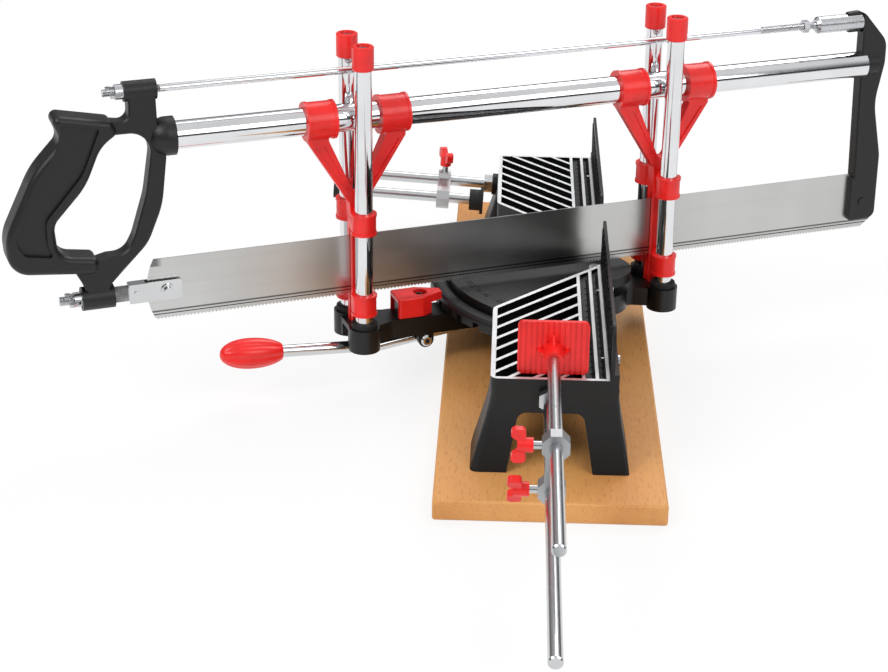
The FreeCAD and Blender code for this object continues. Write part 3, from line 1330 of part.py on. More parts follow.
def make_blade_holder():
    body = new_body("blade_holder", turned=True)
    low = SIZE["pin_height"] - SIZE["holder_height"] / 2
    high = low + SIZE["holder_height"]
    cheeks = new_sketch(body, "YZ_Plane")
    rectangle(cheeks, -SIZE["holder_front"], low, -SIZE["holder_back"], high, 1.5)
    pad(body, cheeks, (SIZE["holder_half"] + SIZE["holder_skin"]) * 2, both=True)
    gap = new_sketch(body, "XZ_Plane", SIZE["holder_front"] + 1)
    rectangle(gap, -SIZE["holder_half"], low - 1, SIZE["holder_half"], high - SIZE["holder_skin"])
    pocket(body, gap, 60, back=False)
    open_top = new_sketch(body, "XY_Plane", high + 1)
    rectangle(
        open_top, -SIZE["holder_half"], -(SIZE["blade_front"] + 1.5), SIZE["holder_half"], -SIZE["holder_back"] + 1,
    )
    pocket(body, open_top, 4)
    holes = new_sketch(body, "YZ_Plane")
    circle(holes, -SIZE["front_pin"], SIZE["pin_height"], SIZE["blade_pin"])
    circle(holes, -(SIZE["holder_front"] - 5.5), SIZE["pin_height"], 2.2)
    pocket(body, holes, 12, both=True)

    stud = new_body("blade_stud", turned=True)
    thread = new_sketch(stud, "XZ_Plane", SIZE["lower_lug_back"] - 1)
    circle(thread, 0, SIZE["pin_height"], SIZE["stud_radius"])
    pad(stud, thread, SIZE["lug_length"] + SIZE["nut_length"] + 6)
    flat = new_sketch(stud, "YZ_Plane")
    rectangle(
        flat, -SIZE["lower_lug_back"] + 0.4, SIZE["pin_height"] - 4.7, -(SIZE["holder_front"] - 11),
        SIZE["pin_height"] + 4.7,
    )
    pad(stud, flat, SIZE["holder_half"] * 2, both=True)
    hole = new_sketch(stud, "YZ_Plane")
    circle(hole, -(SIZE["holder_front"] - 5.5), SIZE["pin_height"], 2.2)
    pocket(stud, hole, 12, both=True)
    half = SIZE["holder_half"] + SIZE["holder_skin"] + 0.6
    bar(
        "stud_rivet", "YZ_Plane", -(SIZE["holder_front"] - 5.5), SIZE["pin_height"], -half, half * 2, 2.2,
        turned=True,
    )


def make_wing_nut(label, face, level, bore):
    """Pressed wing nut on a thread that runs along the blade."""
    body = new_body(label, turned=True)
    hub = new_sketch(body, "XZ_Plane", face)
    circle(hub, 0, level, 5)
    pad(body, hub, SIZE["nut_length"] * 0.55)
    wings = new_sketch(body, "XY_Plane", level)
    start = -face
    tip = SIZE["nut_length"]
    for side in (-1, 1):
        outline(wings, [
            (side * 2, start - 1), (side * 6, start - 1.2), (side * 10.8, start - tip + 2, 1.2),
            (side * 10, start - tip, 1.2), (side * 7, start - tip), (side * 4.6, start - tip * 0.55),
            (side * 2, start - tip * 0.55),
        ])
    pad(body, wings, 2, both=True)
    hole = new_sketch(body, "XZ_Plane", face - 1)
    circle(hole, 0, level, bore)
    pocket(body, hole, SIZE["nut_length"] + 3, back=True)


# Length stop and work clamp

def make_stop_rods():
    bar(
        "stop_rod_lower", "YZ_Plane", SIZE["stop_y"], SIZE["stop_low"], SIZE["table_half"] - 6,
        SIZE["low_rod_end"] - SIZE["table_half"] + 6, SIZE["stop_radius"], bevel=0.8,
    )
    bar(
        "stop_rod_upper", "YZ_Plane", SIZE["stop_high_y"], SIZE["stop_low"] + SIZE["stop_rise"],
        SIZE["high_rod_start"], SIZE["high_rod_end"] - SIZE["high_rod_start"], SIZE["stop_radius"], bevel=0.8,
    )
    nut = new_body("stop_rod_nut")
    sketch = new_sketch(nut, "YZ_Plane", SIZE["table_half"] + 2)
    hexagon(sketch, SIZE["stop_y"], SIZE["stop_low"], SIZE["hex_across"], 30)
    circle(sketch, SIZE["stop_y"], SIZE["stop_low"], SIZE["stop_radius"])
    pad(nut, sketch, SIZE["hex_thick"])


def clip_shape(body, role, start, first, second, run_gap, screw_levels):
    """Two faceted rings side by side on a neck, bored for a rod each."""
    sketch = new_sketch(body, role, start)
    radius = SIZE["clip_radius"]
    for x, y in (first, second):
        spokes = [math.radians(22.5 + 45 * k) for k in range(8)]
        reach = radius / math.cos(math.radians(22.5))
        ring = new_sketch(body, role, start)
        outline(ring, [(x + reach * math.cos(a), y + reach * math.sin(a)) for a in spokes])
        pad(body, ring, SIZE["clip_thick"])
    neck = SIZE["clip_neck"]
    outline(sketch, [
        (first[0] - neck, first[1]), (first[0] + neck, first[1]),
        (second[0] + neck, second[1]), (second[0] - neck, second[1]),
    ])
    pad(body, sketch, SIZE["clip_thick"])
    bores = new_sketch(body, role, start)
    for x, y in (first, second):
        circle(bores, x, y, SIZE["stop_radius"] + run_gap)
    pocket(body, bores, SIZE["clip_thick"] + 1, back=True)


def make_stop_bracket():
    body = new_body("stop_bracket")
    low = (SIZE["stop_y"], SIZE["stop_low"])
    high = (SIZE["stop_high_y"], SIZE["stop_low"] + SIZE["stop_rise"])
    start = SIZE["clip_at"] - SIZE["clip_thick"] / 2
    clip_shape(body, "YZ_Plane", start, low, high, SIZE["running_gap"], None)
    for across, level in (low, high):
        hole = new_sketch(body, "XZ_Plane", -across)
        circle(hole, SIZE["clip_at"], level, SIZE["wing_stud"] + SIZE["running_gap"])
        pocket(body, hole, SIZE["clip_radius"] + 2, back=True)


def make_wing_screw(wing_label, stud_label, spot, turn):
    """Red wing on a steel stud, drawn with the thread along Z from the rod's axis."""
    place = Placement(Vector(*[number(v) for v in spot]), turn)
    tip = SIZE["stop_radius"] + SIZE["clear_gap"]
    stud = new_body(stud_label)
    sketch = new_sketch(stud, "XY_Plane", tip)
    circle(sketch, 0, 0, SIZE["wing_stud"])
    pad(stud, sketch, SIZE["wing_reach"] - tip - 10)
    stud.Placement = place
    wing = new_body(wing_label)
    top = SIZE["wing_reach"]
    base = top - 13.6
    hub = new_sketch(wing, "XY_Plane", base)
    circle(hub, 0, 0, SIZE["wing_hub"])
    pad(wing, hub, 9.2)
    ears = new_sketch(wing, "XZ_Plane")
    half = SIZE["wing_half"]
    outline(ears, [
        (2.6, base + 5), (5, base + 4.4, 1.5), (half - 0.6, base + 4.2, 2.6), (half, top, 3), (5.6, top - 1.2, 3),
        (2.6, base + 8), (-2.6, base + 8), (-5.6, top - 1.2, 3), (-half, top, 3), (0.6 - half, base + 4.2, 2.6),
        (-5, base + 4.4, 1.5), (-2.6, base + 5),
    ])
    pad(wing, ears, SIZE["wing_thick"], both=True)
    bore = new_sketch(wing, "XY_Plane", base - 1)
    circle(bore, 0, 0, SIZE["wing_stud"])
    pocket(wing, bore, 4.6, back=True)
    wing.Placement = place


def make_stop_plate():
    body = new_body("stop_plate")
    sketch = new_sketch(body, "YZ_Plane", SIZE["stop_plate_at"])
    half = SIZE["stop_plate_wide"] / 2
    low = SIZE["table_top"] + SIZE["stop_lift"]
    level = SIZE["stop_low"] + SIZE["stop_rise"]
    rectangle(sketch, SIZE["stop_high_y"] - half, low, SIZE["stop_high_y"] + half, low + SIZE["stop_plate_high"], 3.5)
    pad(body, sketch, SIZE["stop_plate_thick"])
    hub = new_sketch(body, "YZ_Plane", SIZE["stop_plate_at"])
    circle(hub, SIZE["stop_high_y"], level, SIZE["stop_hub"])
    pad(body, hub, SIZE["stop_plate_thick"] + SIZE["stop_hub_long"])
    gusset = new_sketch(body, "XY_Plane", level)
    face = SIZE["stop_plate_at"] + SIZE["stop_plate_thick"]
    outline(gusset, [
        (face - 1, SIZE["stop_high_y"] - 10.5), (face, SIZE["stop_high_y"] - 10.5), (face + 9, SIZE["stop_high_y"] - 5),
        (face + 9, SIZE["stop_high_y"] + 5), (face, SIZE["stop_high_y"] + 10.5), (face - 1, SIZE["stop_high_y"] + 10.5),
    ])
    pad(body, gusset, 1.4, both=True)
    fin = new_sketch(body, "XZ_Plane", -SIZE["stop_high_y"])
    outline(fin, [
        (face - 1, level), (face + 9, level), (face + 9, level + 5), (face, level + 10.5), (face - 1, level + 10.5),
    ])
    pad(body, fin, 1.4, both=True)
    bore = new_sketch(body, "YZ_Plane", SIZE["high_rod_start"])
    circle(bore, SIZE["stop_high_y"], level, SIZE["stop_radius"])
    pocket(body, bore, 40, back=True)
    grooves = new_sketch(body, "YZ_Plane", face)
    count = 13
    pitch = SIZE["stop_plate_wide"] / count
    for k in range(count):
        x = SIZE["stop_high_y"] - half + pitch * (k + 0.32)
        rectangle(grooves, x, low - 1, x + pitch * 0.36, low + SIZE["stop_plate_high"] + 1)
    item = pocket(body, grooves, 0.7)


def clamp_body(label):
    """A body drawn with the clamp rod along -Y from the casting, then tilted with the rod."""
    body = new_body(label)
    body.Placement = clamp_place(0, 0, 0)
    return body


def clamp_bar(label, x, z, start, length, radius, bore=None):
    body = clamp_body(label)
    sketch = new_sketch(body, "XZ_Plane", start)
    circle(sketch, x, z, radius)
    if bore is not None:
        circle(sketch, x, z, bore)
    pad(body, sketch, length)
    return body


def make_clamp():
    """Along the rod, sizes count outwards from the casting's front."""
    wall = SIZE["table_front"]
    rod = clamp_bar("clamp_rod", 0, 0, -5, -SIZE["clamp_end"] - wall + 5, SIZE["stop_radius"])
    dress(rod, "Chamfer", 0.8, lambda e: is_circle(e))
    nut = clamp_body("clamp_rod_nut")
    sketch = new_sketch(nut, "XZ_Plane", 5)
    hexagon(sketch, Size(0, "0"), Size(0, "0"), SIZE["hex_across"], 30)
    circle(sketch, 0, 0, SIZE["stop_radius"])
    pad(nut, sketch, SIZE["hex_thick"])
    droop = math.radians(SIZE["clamp_droop"].value)
    first = (Size(0, "0"), Size(0, "0"))
    second = (SIZE["stop_rise"] * math.cos(droop), SIZE["stop_rise"] * -math.sin(droop))
    body = clamp_body("clamp_bracket")
    start = -SIZE["clamp_clip_at"] - wall - SIZE["clip_thick"] / 2
    joint = new_sketch(body, "XZ_Plane", start)
    neck = SIZE["clip_neck"]
    outline(joint, [
        (first[0], first[1] - neck), (second[0], second[1] - neck),
        (second[0], second[1] + neck), (first[0], first[1] + neck),
    ])
    pad(body, joint, SIZE["clip_thick"])
    for x, y in (first, second):
        ring = new_sketch(body, "XZ_Plane", start)
        spokes = [math.radians(22.5 + 45 * k - SIZE["clamp_droop"].value) for k in range(8)]
        reach = SIZE["clip_radius"] / math.cos(math.radians(22.5))
        outline(ring, [(x + reach * math.cos(a), y + reach * math.sin(a)) for a in spokes])
        pad(body, ring, SIZE["clip_thick"])
    bores = new_sketch(body, "XZ_Plane", start)
    for x, y in (first, second):
        circle(bores, x, y, SIZE["stop_radius"] + SIZE["running_gap"])
    pocket(body, bores, SIZE["clip_thick"] + 1, back=True)
    hole = new_sketch(body, "XY_Plane")
    circle(hole, 0, SIZE["clamp_clip_at"] + wall, SIZE["wing_stud"] + SIZE["running_gap"])
    pocket(body, hole, SIZE["clip_radius"] + 3, back=True)

    begin = -SIZE["spindle_in"] - wall
    end = -SIZE["spindle_out"] - wall
    clamp_bar("clamp_spindle", second[0], second[1], begin, end - begin, SIZE["stop_radius"])
    foot = clamp_bar("clamp_foot", second[0], second[1], begin - 6.5, 9, SIZE["foot_radius"] - 2.6)
    disc = new_sketch(foot, "XZ_Plane", begin - 8.5)
    circle(disc, second[0], second[1], SIZE["foot_radius"])
    pad(foot, disc, 2.4)
    bore = new_sketch(foot, "XZ_Plane", begin)
    circle(bore, second[0], second[1], SIZE["stop_radius"])
    pocket(foot, bore, 3, back=True)
    knob = clamp_bar(
        "clamp_knob", second[0], second[1], end - 1.5, SIZE["knob_long"] + 1.5, SIZE["knob_radius"],
    )
    bore = new_sketch(knob, "XZ_Plane", end)
    circle(bore, second[0], second[1], SIZE["stop_radius"])
    pocket(knob, bore, SIZE["knob_long"])


def make_wing_screws():
    upright = Rotation(Vector(1, 0, 0), 90)
    high = SIZE["stop_low"] + SIZE["stop_rise"]
    edge_on = upright.multiply(Rotation(Vector(0, 0, 1), 90))
    make_wing_screw("stop_wing_upper", "stop_stud_upper", (SIZE["clip_at"], SIZE["stop_high_y"], high), edge_on)
    make_wing_screw(
        "stop_wing_lower", "stop_stud_lower", (SIZE["clip_at"], SIZE["stop_y"], SIZE["stop_low"]),
        upright.multiply(Rotation(Vector(0, 0, 1), 60)),
    )
    spot = clamp_place(0, number(SIZE["clamp_clip_at"]) + number(SIZE["table_front"]), 0)
    make_wing_screw(
        "clamp_wing", "clamp_stud", tuple(spot.Base), spot.Rotation.multiply(Rotation(Vector(0, 0, 1), 20)),
    )


def write_parts():
    for item in document.Objects:
        if "Invalid" in item.State or "Error" in item.State:
            raise RuntimeError(f"{item.Name} failed: {item.State}")
    os.makedirs("parts", exist_ok=True)
    kept = [o for o in document.Objects if o.TypeId == "PartDesign::Body"]
    for item in kept:
        shape = item.Shape
        if shape.isNull() or not shape.isValid() or not shape.Solids:
            raise RuntimeError(f"{item.Label} has no valid solid")
        shape.exportStep(f"parts/{item.Label}.step")
        box = shape.BoundBox
        print(f"{item.Label}: {len(shape.Solids)} solids, {shape.Volume:.0f} mm3, "
              f"x {box.XMin:.1f} {box.XMax:.1f} y {box.YMin:.1f} {box.YMax:.1f} z {box.ZMin:.1f} {box.ZMax:.1f}")
    print(len(kept), "pieces")


make_base_board()
make_board_screws()
make_table_casting()
make_fence("fence_near", 1)
make_fence("fence_far", -1)
make_fence_screws()
make_pivot()
make_swing_arm()
make_posts()
make_lever()
make_lever_grip()
make_latch()
make_guide("guide_front", -SIZE["front_reach"])
make_guide("guide_rear", SIZE["rear_reach"])
make_tube_and_rod()
make_clevis()
make_handle()
make_end_bracket()
make_blade()
make_blade_pins()
make_blade_holder()
make_wing_nut("rod_wing_nut", SIZE["upper_lug_back"] + SIZE["lug_length"], SIZE["rod_height"], SIZE["rod_radius"] + SIZE["running_gap"])
make_wing_nut("blade_wing_nut", SIZE["lower_lug_back"] + SIZE["lug_length"], SIZE["pin_height"], SIZE["stud_radius"] + SIZE["running_gap"])
make_stop_rods()
make_stop_bracket()
make_stop_plate()
make_clamp()
make_wing_screws()
document.recompute()
write_parts()
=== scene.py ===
import bpy
import math
from mathutils import Matrix, Vector


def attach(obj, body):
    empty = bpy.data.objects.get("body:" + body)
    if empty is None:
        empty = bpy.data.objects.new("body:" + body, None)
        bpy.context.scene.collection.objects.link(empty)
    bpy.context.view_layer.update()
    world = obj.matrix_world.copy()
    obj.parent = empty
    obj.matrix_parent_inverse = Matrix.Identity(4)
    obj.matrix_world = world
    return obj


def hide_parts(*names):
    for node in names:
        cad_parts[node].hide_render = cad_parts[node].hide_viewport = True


bl_info = {
    "name": "Mitre saw",
    "version": (1, 0, 0),
    "blender": (4, 5, 0),
    "location": "View3D > Sidebar > Mitre saw",
    "description": "Finishes and small parts of a manual mitre saw",
    "category": "Object",
}

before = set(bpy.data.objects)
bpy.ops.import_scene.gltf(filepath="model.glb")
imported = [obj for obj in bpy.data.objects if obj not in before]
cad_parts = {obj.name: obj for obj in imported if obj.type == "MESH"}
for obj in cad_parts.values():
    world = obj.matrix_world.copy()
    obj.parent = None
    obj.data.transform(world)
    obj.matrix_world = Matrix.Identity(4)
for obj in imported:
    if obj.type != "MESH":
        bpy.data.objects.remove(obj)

MM = 0.001
ORIGIN = (0, 0, 0)
SWING = math.radians(22.5)  # the saw's angle in the photograph, which is its rest
TURN = Matrix.Rotation(SWING, 4, "Z")
ALONG = (-math.sin(SWING), math.cos(SWING), 0)  # the blade's direction, away from the handle
SMOOTH_ANGLE = math.radians(32)

# Places that the finishes follow, in millimetres, the spans of threads along the blade's direction
RIB_TOPS = 74.9
THREAD_PITCH = 0.9
ROD_THREADS = [(-352, -312), (120, 170)]
STUD_THREADS = [(-400, -340)]
# Heights of the blade's two dark lines above the teeth, a painted reflection of the dark table
BLADE_REFLECTION_LINE = (72.6, 73.3)
BLADE_REFLECTION_BAND = (74.5, 75.7)
BLADE_CORNER = (-400, -319.5)
CORNER_HEIGHT = 107.5

# Lever grip: heights and radii in millimetres, from the end at the lever outwards
GRIP_SIDES = 28
GRIP_FLUTE_STEP = 4
GRIP_PROFILE = [
    (0, 5.4), (0.6, 6.2), (3.4, 7.7), (8, 9.3), (14, 10.5), (21, 11), (28, 10.7), (34, 9.5),
    (38.6, 7.6), (41.8, 5.4), (43.4, 3.2), (44, 1.2),
]
GRIP_FLUTES = (3, 39)
GRIP_MIDDLE = (-257, 35)
LEVER_TILT = math.radians(4.5)

# Scale strips: their bays between the ribs, and the table's slanted edge, in millimetres
BAYS = (("Front", -12.5, -6.3), ("Back", -4.1, 0.5))
BAY_END = 210.9
BAY_FLOOR = 68.1
STRIP_TOP = 73
STRIP_PLAY = 0.1
STRIP_WALL = 0.5
STRIP_DEPTH = 0.4
EDGE_START = (24.6, 2.5)
EDGE_SLOPE = 81.5 / 74.5
RULE_MARKS = ((2, 1.5), (10, 2.6))
RULE_MARK = (0.36, 0.7)
RULE_SINK = 0.25
RULE_END = 2
MARK_TAPER = 0.6

# Quadrant: radii and heights in millimetres, angles in degrees
DIAL_TOP = 65.1
DIAL_MARK = (0.5, 4, 0.5)
DIAL_END_TAPER = 0.9
DIAL_RADIUS = 103.4
NUMBER_RADIUS = 96
NUMBER_RAISE = 0.15
DIAL_HALF = 45
DIAL_STEPS = 18
DIAL_NUMBERS = (-45, -36, -30, -22.5, -15, 0, 15, 22.5, 30, 36, 45)

# Cross recess in the lever pin's head, drawn as a thin dark cross of painted shade, in millimetres
RECESS_CORE = 0.9
RECESS_ARM = 1.2
RECESS_TAPER = 0.7
RECESS_SHARE = 0.3
RECESS_PLACE = (13.32, -133, 31.5)

# Stage, in metres and degrees
FLOOR_SIZE = 12
FLOOR_DROP = 0.0002
LAMPS = (
    ("Key", (1.5, -1.7, 2.1), 1.3, 34),
    ("Fill", (1.9, 1.5, 1.5), 1.5, 20),
    ("Back", (-1.5, 0.5, 1.9), 1.4, 20),
)
LAMP_TARGET = Vector((0, -0.05, 0.12))
CAMERA_PLACE = (1.372, -0.0637, 0.6191)
CAMERA_ANGLES = (-1.86, 24.01, 0.65)
CAMERA_LENS = 83.07


def linear(text):
    """A hex colour as linear RGBA."""
    parts = [int(text[i:i + 2], 16) / 255 for i in (1, 3, 5)]
    return [c / 12.92 if c <= 0.04045 else ((c + 0.055) / 1.055) ** 2.4 for c in parts] + [1]


def tone(colour):
    """A colour given as hex, or as linear RGBA by the panel."""
    return linear(colour) if isinstance(colour, str) else list(colour)


def add(tree, kind, sockets=None, **settings):
    """One shader node; sockets maps an input's name or number to a value or to another output."""
    node = tree.nodes.new("ShaderNode" + kind)
    for key, value in settings.items():
        setattr(node, key, value)
    for key, value in (sockets or {}).items():
        if isinstance(value, bpy.types.NodeSocket):
            tree.links.new(value, node.inputs[key])
        else:
            node.inputs[key].default_value = value
    return node


def new_material(name):
    material = bpy.data.materials.new(name)
    material.use_nodes = True
    tree = material.node_tree
    tree.nodes.clear()
    shader = add(tree, "BsdfPrincipled")
    add(tree, "OutputMaterial", {"Surface": shader.outputs[0]})
    return material, tree, shader


def blend_in(tree, share, shader, other):
    """Shows another shader in place of the first, by its share."""
    blend = add(tree, "MixShader", {0: share, 1: shader.outputs[0], 2: other.outputs[0]})
    out = next(node for node in tree.nodes if node.type == "OUTPUT_MATERIAL")
    tree.links.new(blend.outputs[0], out.inputs["Surface"])


def ramp(tree, fac, stops):
    node = add(tree, "ValToRGB", {"Fac": fac})
    band = node.color_ramp
    while len(band.elements) < len(stops):
        band.elements.new(0.5)
    for element, (place, colour) in zip(band.elements, stops):
        element.position = place
        element.color = tone(colour)
    return node.outputs["Color"]


def mix(tree, fac, first, colour):
    """Lays a colour over an output, by a factor."""
    return add(tree, "Mix", {0: fac, 6: first, 7: tone(colour)}, data_type="RGBA").outputs[2]


def maths(tree, operation, a, b=0.0):
    return add(tree, "Math", {0: a, 1: b}, operation=operation).outputs[0]


def own_place(tree):
    """The point's place in the frame, which rides with its piece."""
    return add(tree, "TexCoord").outputs["Object"]


def noise(tree, size, detail=3, rough=0.5):
    """Cloudy noise, its patches as large in millimetres as size says: one number, or one for each axis."""
    patch = size if isinstance(size, tuple) else (size, size, size)
    spaced = add(tree, "Mapping", {"Vector": own_place(tree), "Scale": [1 / (side * MM) for side in patch]})
    sockets = {"Vector": spaced.outputs[0], "Scale": 1.0, "Detail": detail, "Roughness": rough}
    return add(tree, "TexNoise", sockets).outputs["Fac"]


def bump(tree, shader, height, depth, strength=1.0):
    """Relief of a depth in millimetres."""
    node = add(tree, "Bump", {"Height": height, "Distance": depth * MM, "Strength": strength})
    tree.links.new(node.outputs[0], shader.inputs["Normal"])


def spread(tree, shader, fac, low, high):
    """Lets the roughness wander between two values."""
    node = add(tree, "MapRange", {"Value": fac, "To Min": low, "To Max": high})
    tree.links.new(node.outputs[0], shader.inputs["Roughness"])


def height_of(tree, raw):
    return add(tree, "SeparateXYZ", {0: raw}).outputs["Z"]


def along(tree, raw, way):
    """Distance of the point along a direction from the origin."""
    return add(tree, "VectorMath", {0: raw, 1: way}, operation="DOT_PRODUCT").outputs["Value"]


def window(tree, value, span, soft=0.5):
    """One inside a span and zero outside it, with soft ends, all in millimetres."""
    low, high = span[0] * MM, span[1] * MM
    soft = soft * MM
    up = add(tree, "MapRange", {"Value": value, "From Min": low, "From Max": low + soft}).outputs[0]
    sockets = {"Value": value, "From Min": high, "From Max": high + soft, "To Min": 1, "To Max": 0}
    down = add(tree, "MapRange", sockets).outputs[0]
    return maths(tree, "MULTIPLY", up, down)


def plastic(name, colour, rough, grained=False, shade=None):
    """Moulded ABS: an even colour, slightly deeper in places, with clouded gloss and a fine skin.

    The skin of a real grained mould is finer; 0.667 mm is as coarse as it needs to show.
    """
    material, tree, shader = new_material(name)
    clouds = ramp(tree, noise(tree, 14.3, 4), [(0.3, shade or colour), (0.62, colour)])
    tree.links.new(clouds, shader.inputs["Base Color"])
    spread(tree, shader, noise(tree, 4.17), rough * 0.85, rough * 1.25)
    bump(tree, shader, noise(tree, 0.667 if grained else 3.33, 2), 0.06, 0.5 if grained else 0.18)
    return material


def metal(name, colour, rough, stretch=(1, 1, 1), depth=0.02, threads=None):
    """Bare or plated metal: cloudy gloss and faint stains; stretch draws its marks out along one axis.

    Its clouds are drawn a few millimetres wide, coarser than real polishing marks, so that they show.
    """
    material, tree, shader = new_material(name)
    clouds = noise(tree, tuple(4.545 / side for side in stretch), 4)
    stains = noise(tree, tuple(28.57 / side for side in stretch))
    dull = add(tree, "MapRange", {"Value": stains, "To Min": 0.86, "To Max": 1.08}).outputs[0]
    tinted = add(tree, "VectorMath", {0: linear(colour)[:3], "Scale": dull}, operation="SCALE").outputs[0]
    tree.links.new(tinted, shader.inputs["Base Color"])
    shader.inputs["Metallic"].default_value = 1
    spread(tree, shader, clouds, rough * 0.7, rough * 1.35)
    if threads is None:
        bump(tree, shader, clouds, depth, 0.4)
        return material
    run = along(tree, own_place(tree), ALONG)
    turns = maths(tree, "SINE", maths(tree, "MULTIPLY", run, 2 * math.pi / (THREAD_PITCH * MM)))
    shown = window(tree, run, threads[0])
    for span in threads[1:]:
        shown = maths(tree, "MAXIMUM", shown, window(tree, run, span))
    bump(tree, shader, maths(tree, "MULTIPLY", turns, shown), 0.22, 0.9)
    return material


def paint(name, colour, rough, tops=None):
    """Stove enamel with a light orange peel; level faces above the height tops are bare milled metal."""
    material, tree, shader = new_material(name)
    peel = noise(tree, 2.38)
    clouds = ramp(tree, noise(tree, 33.3), [(0.3, colour), (0.8, "#101112")])
    tree.links.new(clouds, shader.inputs["Base Color"])
    spread(tree, shader, peel, rough * 0.85, rough * 1.3)
    shader.inputs["Specular IOR Level"].default_value = 0.42
    bump(tree, shader, peel, 0.16, 0.3)
    if tops is not None:
        bare = add(tree, "BsdfPrincipled")
        bare.inputs["Metallic"].default_value = 0.55
        marks = noise(tree, (16.7, 0.909, 16.7))
        tree.links.new(ramp(tree, marks, [(0.3, "#dcdddf"), (0.7, "#f2f3f4")]), bare.inputs["Base Color"])
        spread(tree, bare, marks, 0.38, 0.6)
        up = add(tree, "SeparateXYZ", {0: add(tree, "NewGeometry").outputs["Normal"]}).outputs["Z"]
        level = maths(tree, "GREATER_THAN", up, 0.9)
        high = maths(tree, "GREATER_THAN", height_of(tree, own_place(tree)), tops * MM)
        blend_in(tree, maths(tree, "MULTIPLY", level, high), shader, bare)
    return material


def wood(name, pale, dark):
    """Oiled beech: broad bands and fine fibres along X, and the short dark flecks of its rays.

    Its fibres are drawn 2.4 mm wide, coarser than real ones, so that they show.
    """
    material, tree, shader = new_material(name)
    planks = noise(tree, (446.4, 56.8, 56.8), 4, 0.55)
    figure = ramp(tree, planks, [(0.28, dark), (0.5, pale), (0.8, "#e8b06c")])
    fibre = noise(tree, (111.1, 2.38, 2.38), 4, 0.6)
    figure = mix(tree, maths(tree, "MULTIPLY", fibre, 0.4), figure, dark)
    flecks = noise(tree, (6.67, 0.909, 0.909), 1)
    mask = add(tree, "MapRange", {"Value": flecks, "From Min": 0.6, "From Max": 0.68}).outputs[0]
    figure = mix(tree, maths(tree, "MULTIPLY", mask, 0.3), figure, "#9a5a1c")
    tree.links.new(figure, shader.inputs["Base Color"])
    spread(tree, shader, fibre, 0.4, 0.62)
    bump(tree, shader, maths(tree, "SUBTRACT", fibre, mask), 0.04, 0.5)
    return material


def blade_steel(name, colour):
    """Ground spring steel: fine lines along the blade; two dark lines above the teeth, a painted reflection
    of the dark table; a darker top corner towards the handle.

    The grinding lines are drawn 2.4 mm wide, coarser than real ones, so that they show.
    """
    material, tree, shader = new_material(name)
    streak = noise(tree, (333.3, 333.3, 2.38))
    cloud = noise(tree, (111.1, 111.1, 200))
    plain = ramp(tree, cloud, [(0.3, "#b9b8b5"), (0.7, colour)])
    plain = mix(tree, maths(tree, "MULTIPLY", streak, 0.14), plain, "#8f8e8b")
    raw = own_place(tree)
    tall = height_of(tree, raw)
    # Painted reflection of the dark table: two dark lines just above the teeth
    band = maths(tree, "MULTIPLY", window(tree, tall, BLADE_REFLECTION_BAND, 0.4), 0.8)
    dark = maths(tree, "MAXIMUM", window(tree, tall, BLADE_REFLECTION_LINE, 0.3), band)
    # A darker top corner towards the handle end
    tip = window(tree, along(tree, raw, ALONG), BLADE_CORNER, 4)
    corner = maths(tree, "MULTIPLY", tip, maths(tree, "GREATER_THAN", tall, CORNER_HEIGHT * MM))
    dark = maths(tree, "MAXIMUM", dark, maths(tree, "MULTIPLY", corner, 0.7))
    tree.links.new(mix(tree, dark, plain, "#333333"), shader.inputs["Base Color"])
    shader.inputs["Metallic"].default_value = 1
    spread(tree, shader, maths(tree, "ADD", maths(tree, "MULTIPLY", streak, 0.35), cloud), 0.2, 0.36)
    bump(tree, shader, streak, 0.003, 0.2)
    return material


def colour_field(name, description, text):
    return bpy.props.FloatVectorProperty(
        name=name, description=description, default=linear(text), size=4, min=0, max=1, subtype="COLOR",
    )


class MITRESAW_PG_look(bpy.types.PropertyGroup):
    """Colours and sizes that a user might change."""

    red: colour_field("Red plastic", "Colour of the red mouldings", "#f42420")
    shade: colour_field("Red shade", "Deeper tone in the red mouldings", "#e21f1b")
    black: colour_field("Black paint", "Colour of the castings", "#070808")
    handle: colour_field("Black plastic", "Colour of the handle", "#0b0c0d")
    beech: colour_field("Beech", "Main colour of the board", "#e2a25e")
    grain: colour_field("Beech grain", "Darker grain of the board", "#d08d4a")
    steel: colour_field("Blade", "Colour of the blade", "#d3d4d3")
    number: bpy.props.FloatProperty(
        name="Number height", description="Height of the degree numbers on the quadrant",
        default=6.4 * MM, min=3 * MM, max=9 * MM, unit="LENGTH",
    )
    flute: bpy.props.FloatProperty(
        name="Flute depth", description="Depth of the flutes on the lever's grip, as a share of its radius",
        default=0.15, min=0, max=0.3, subtype="FACTOR",
    )


def look():
    return bpy.context.scene.mitre_saw


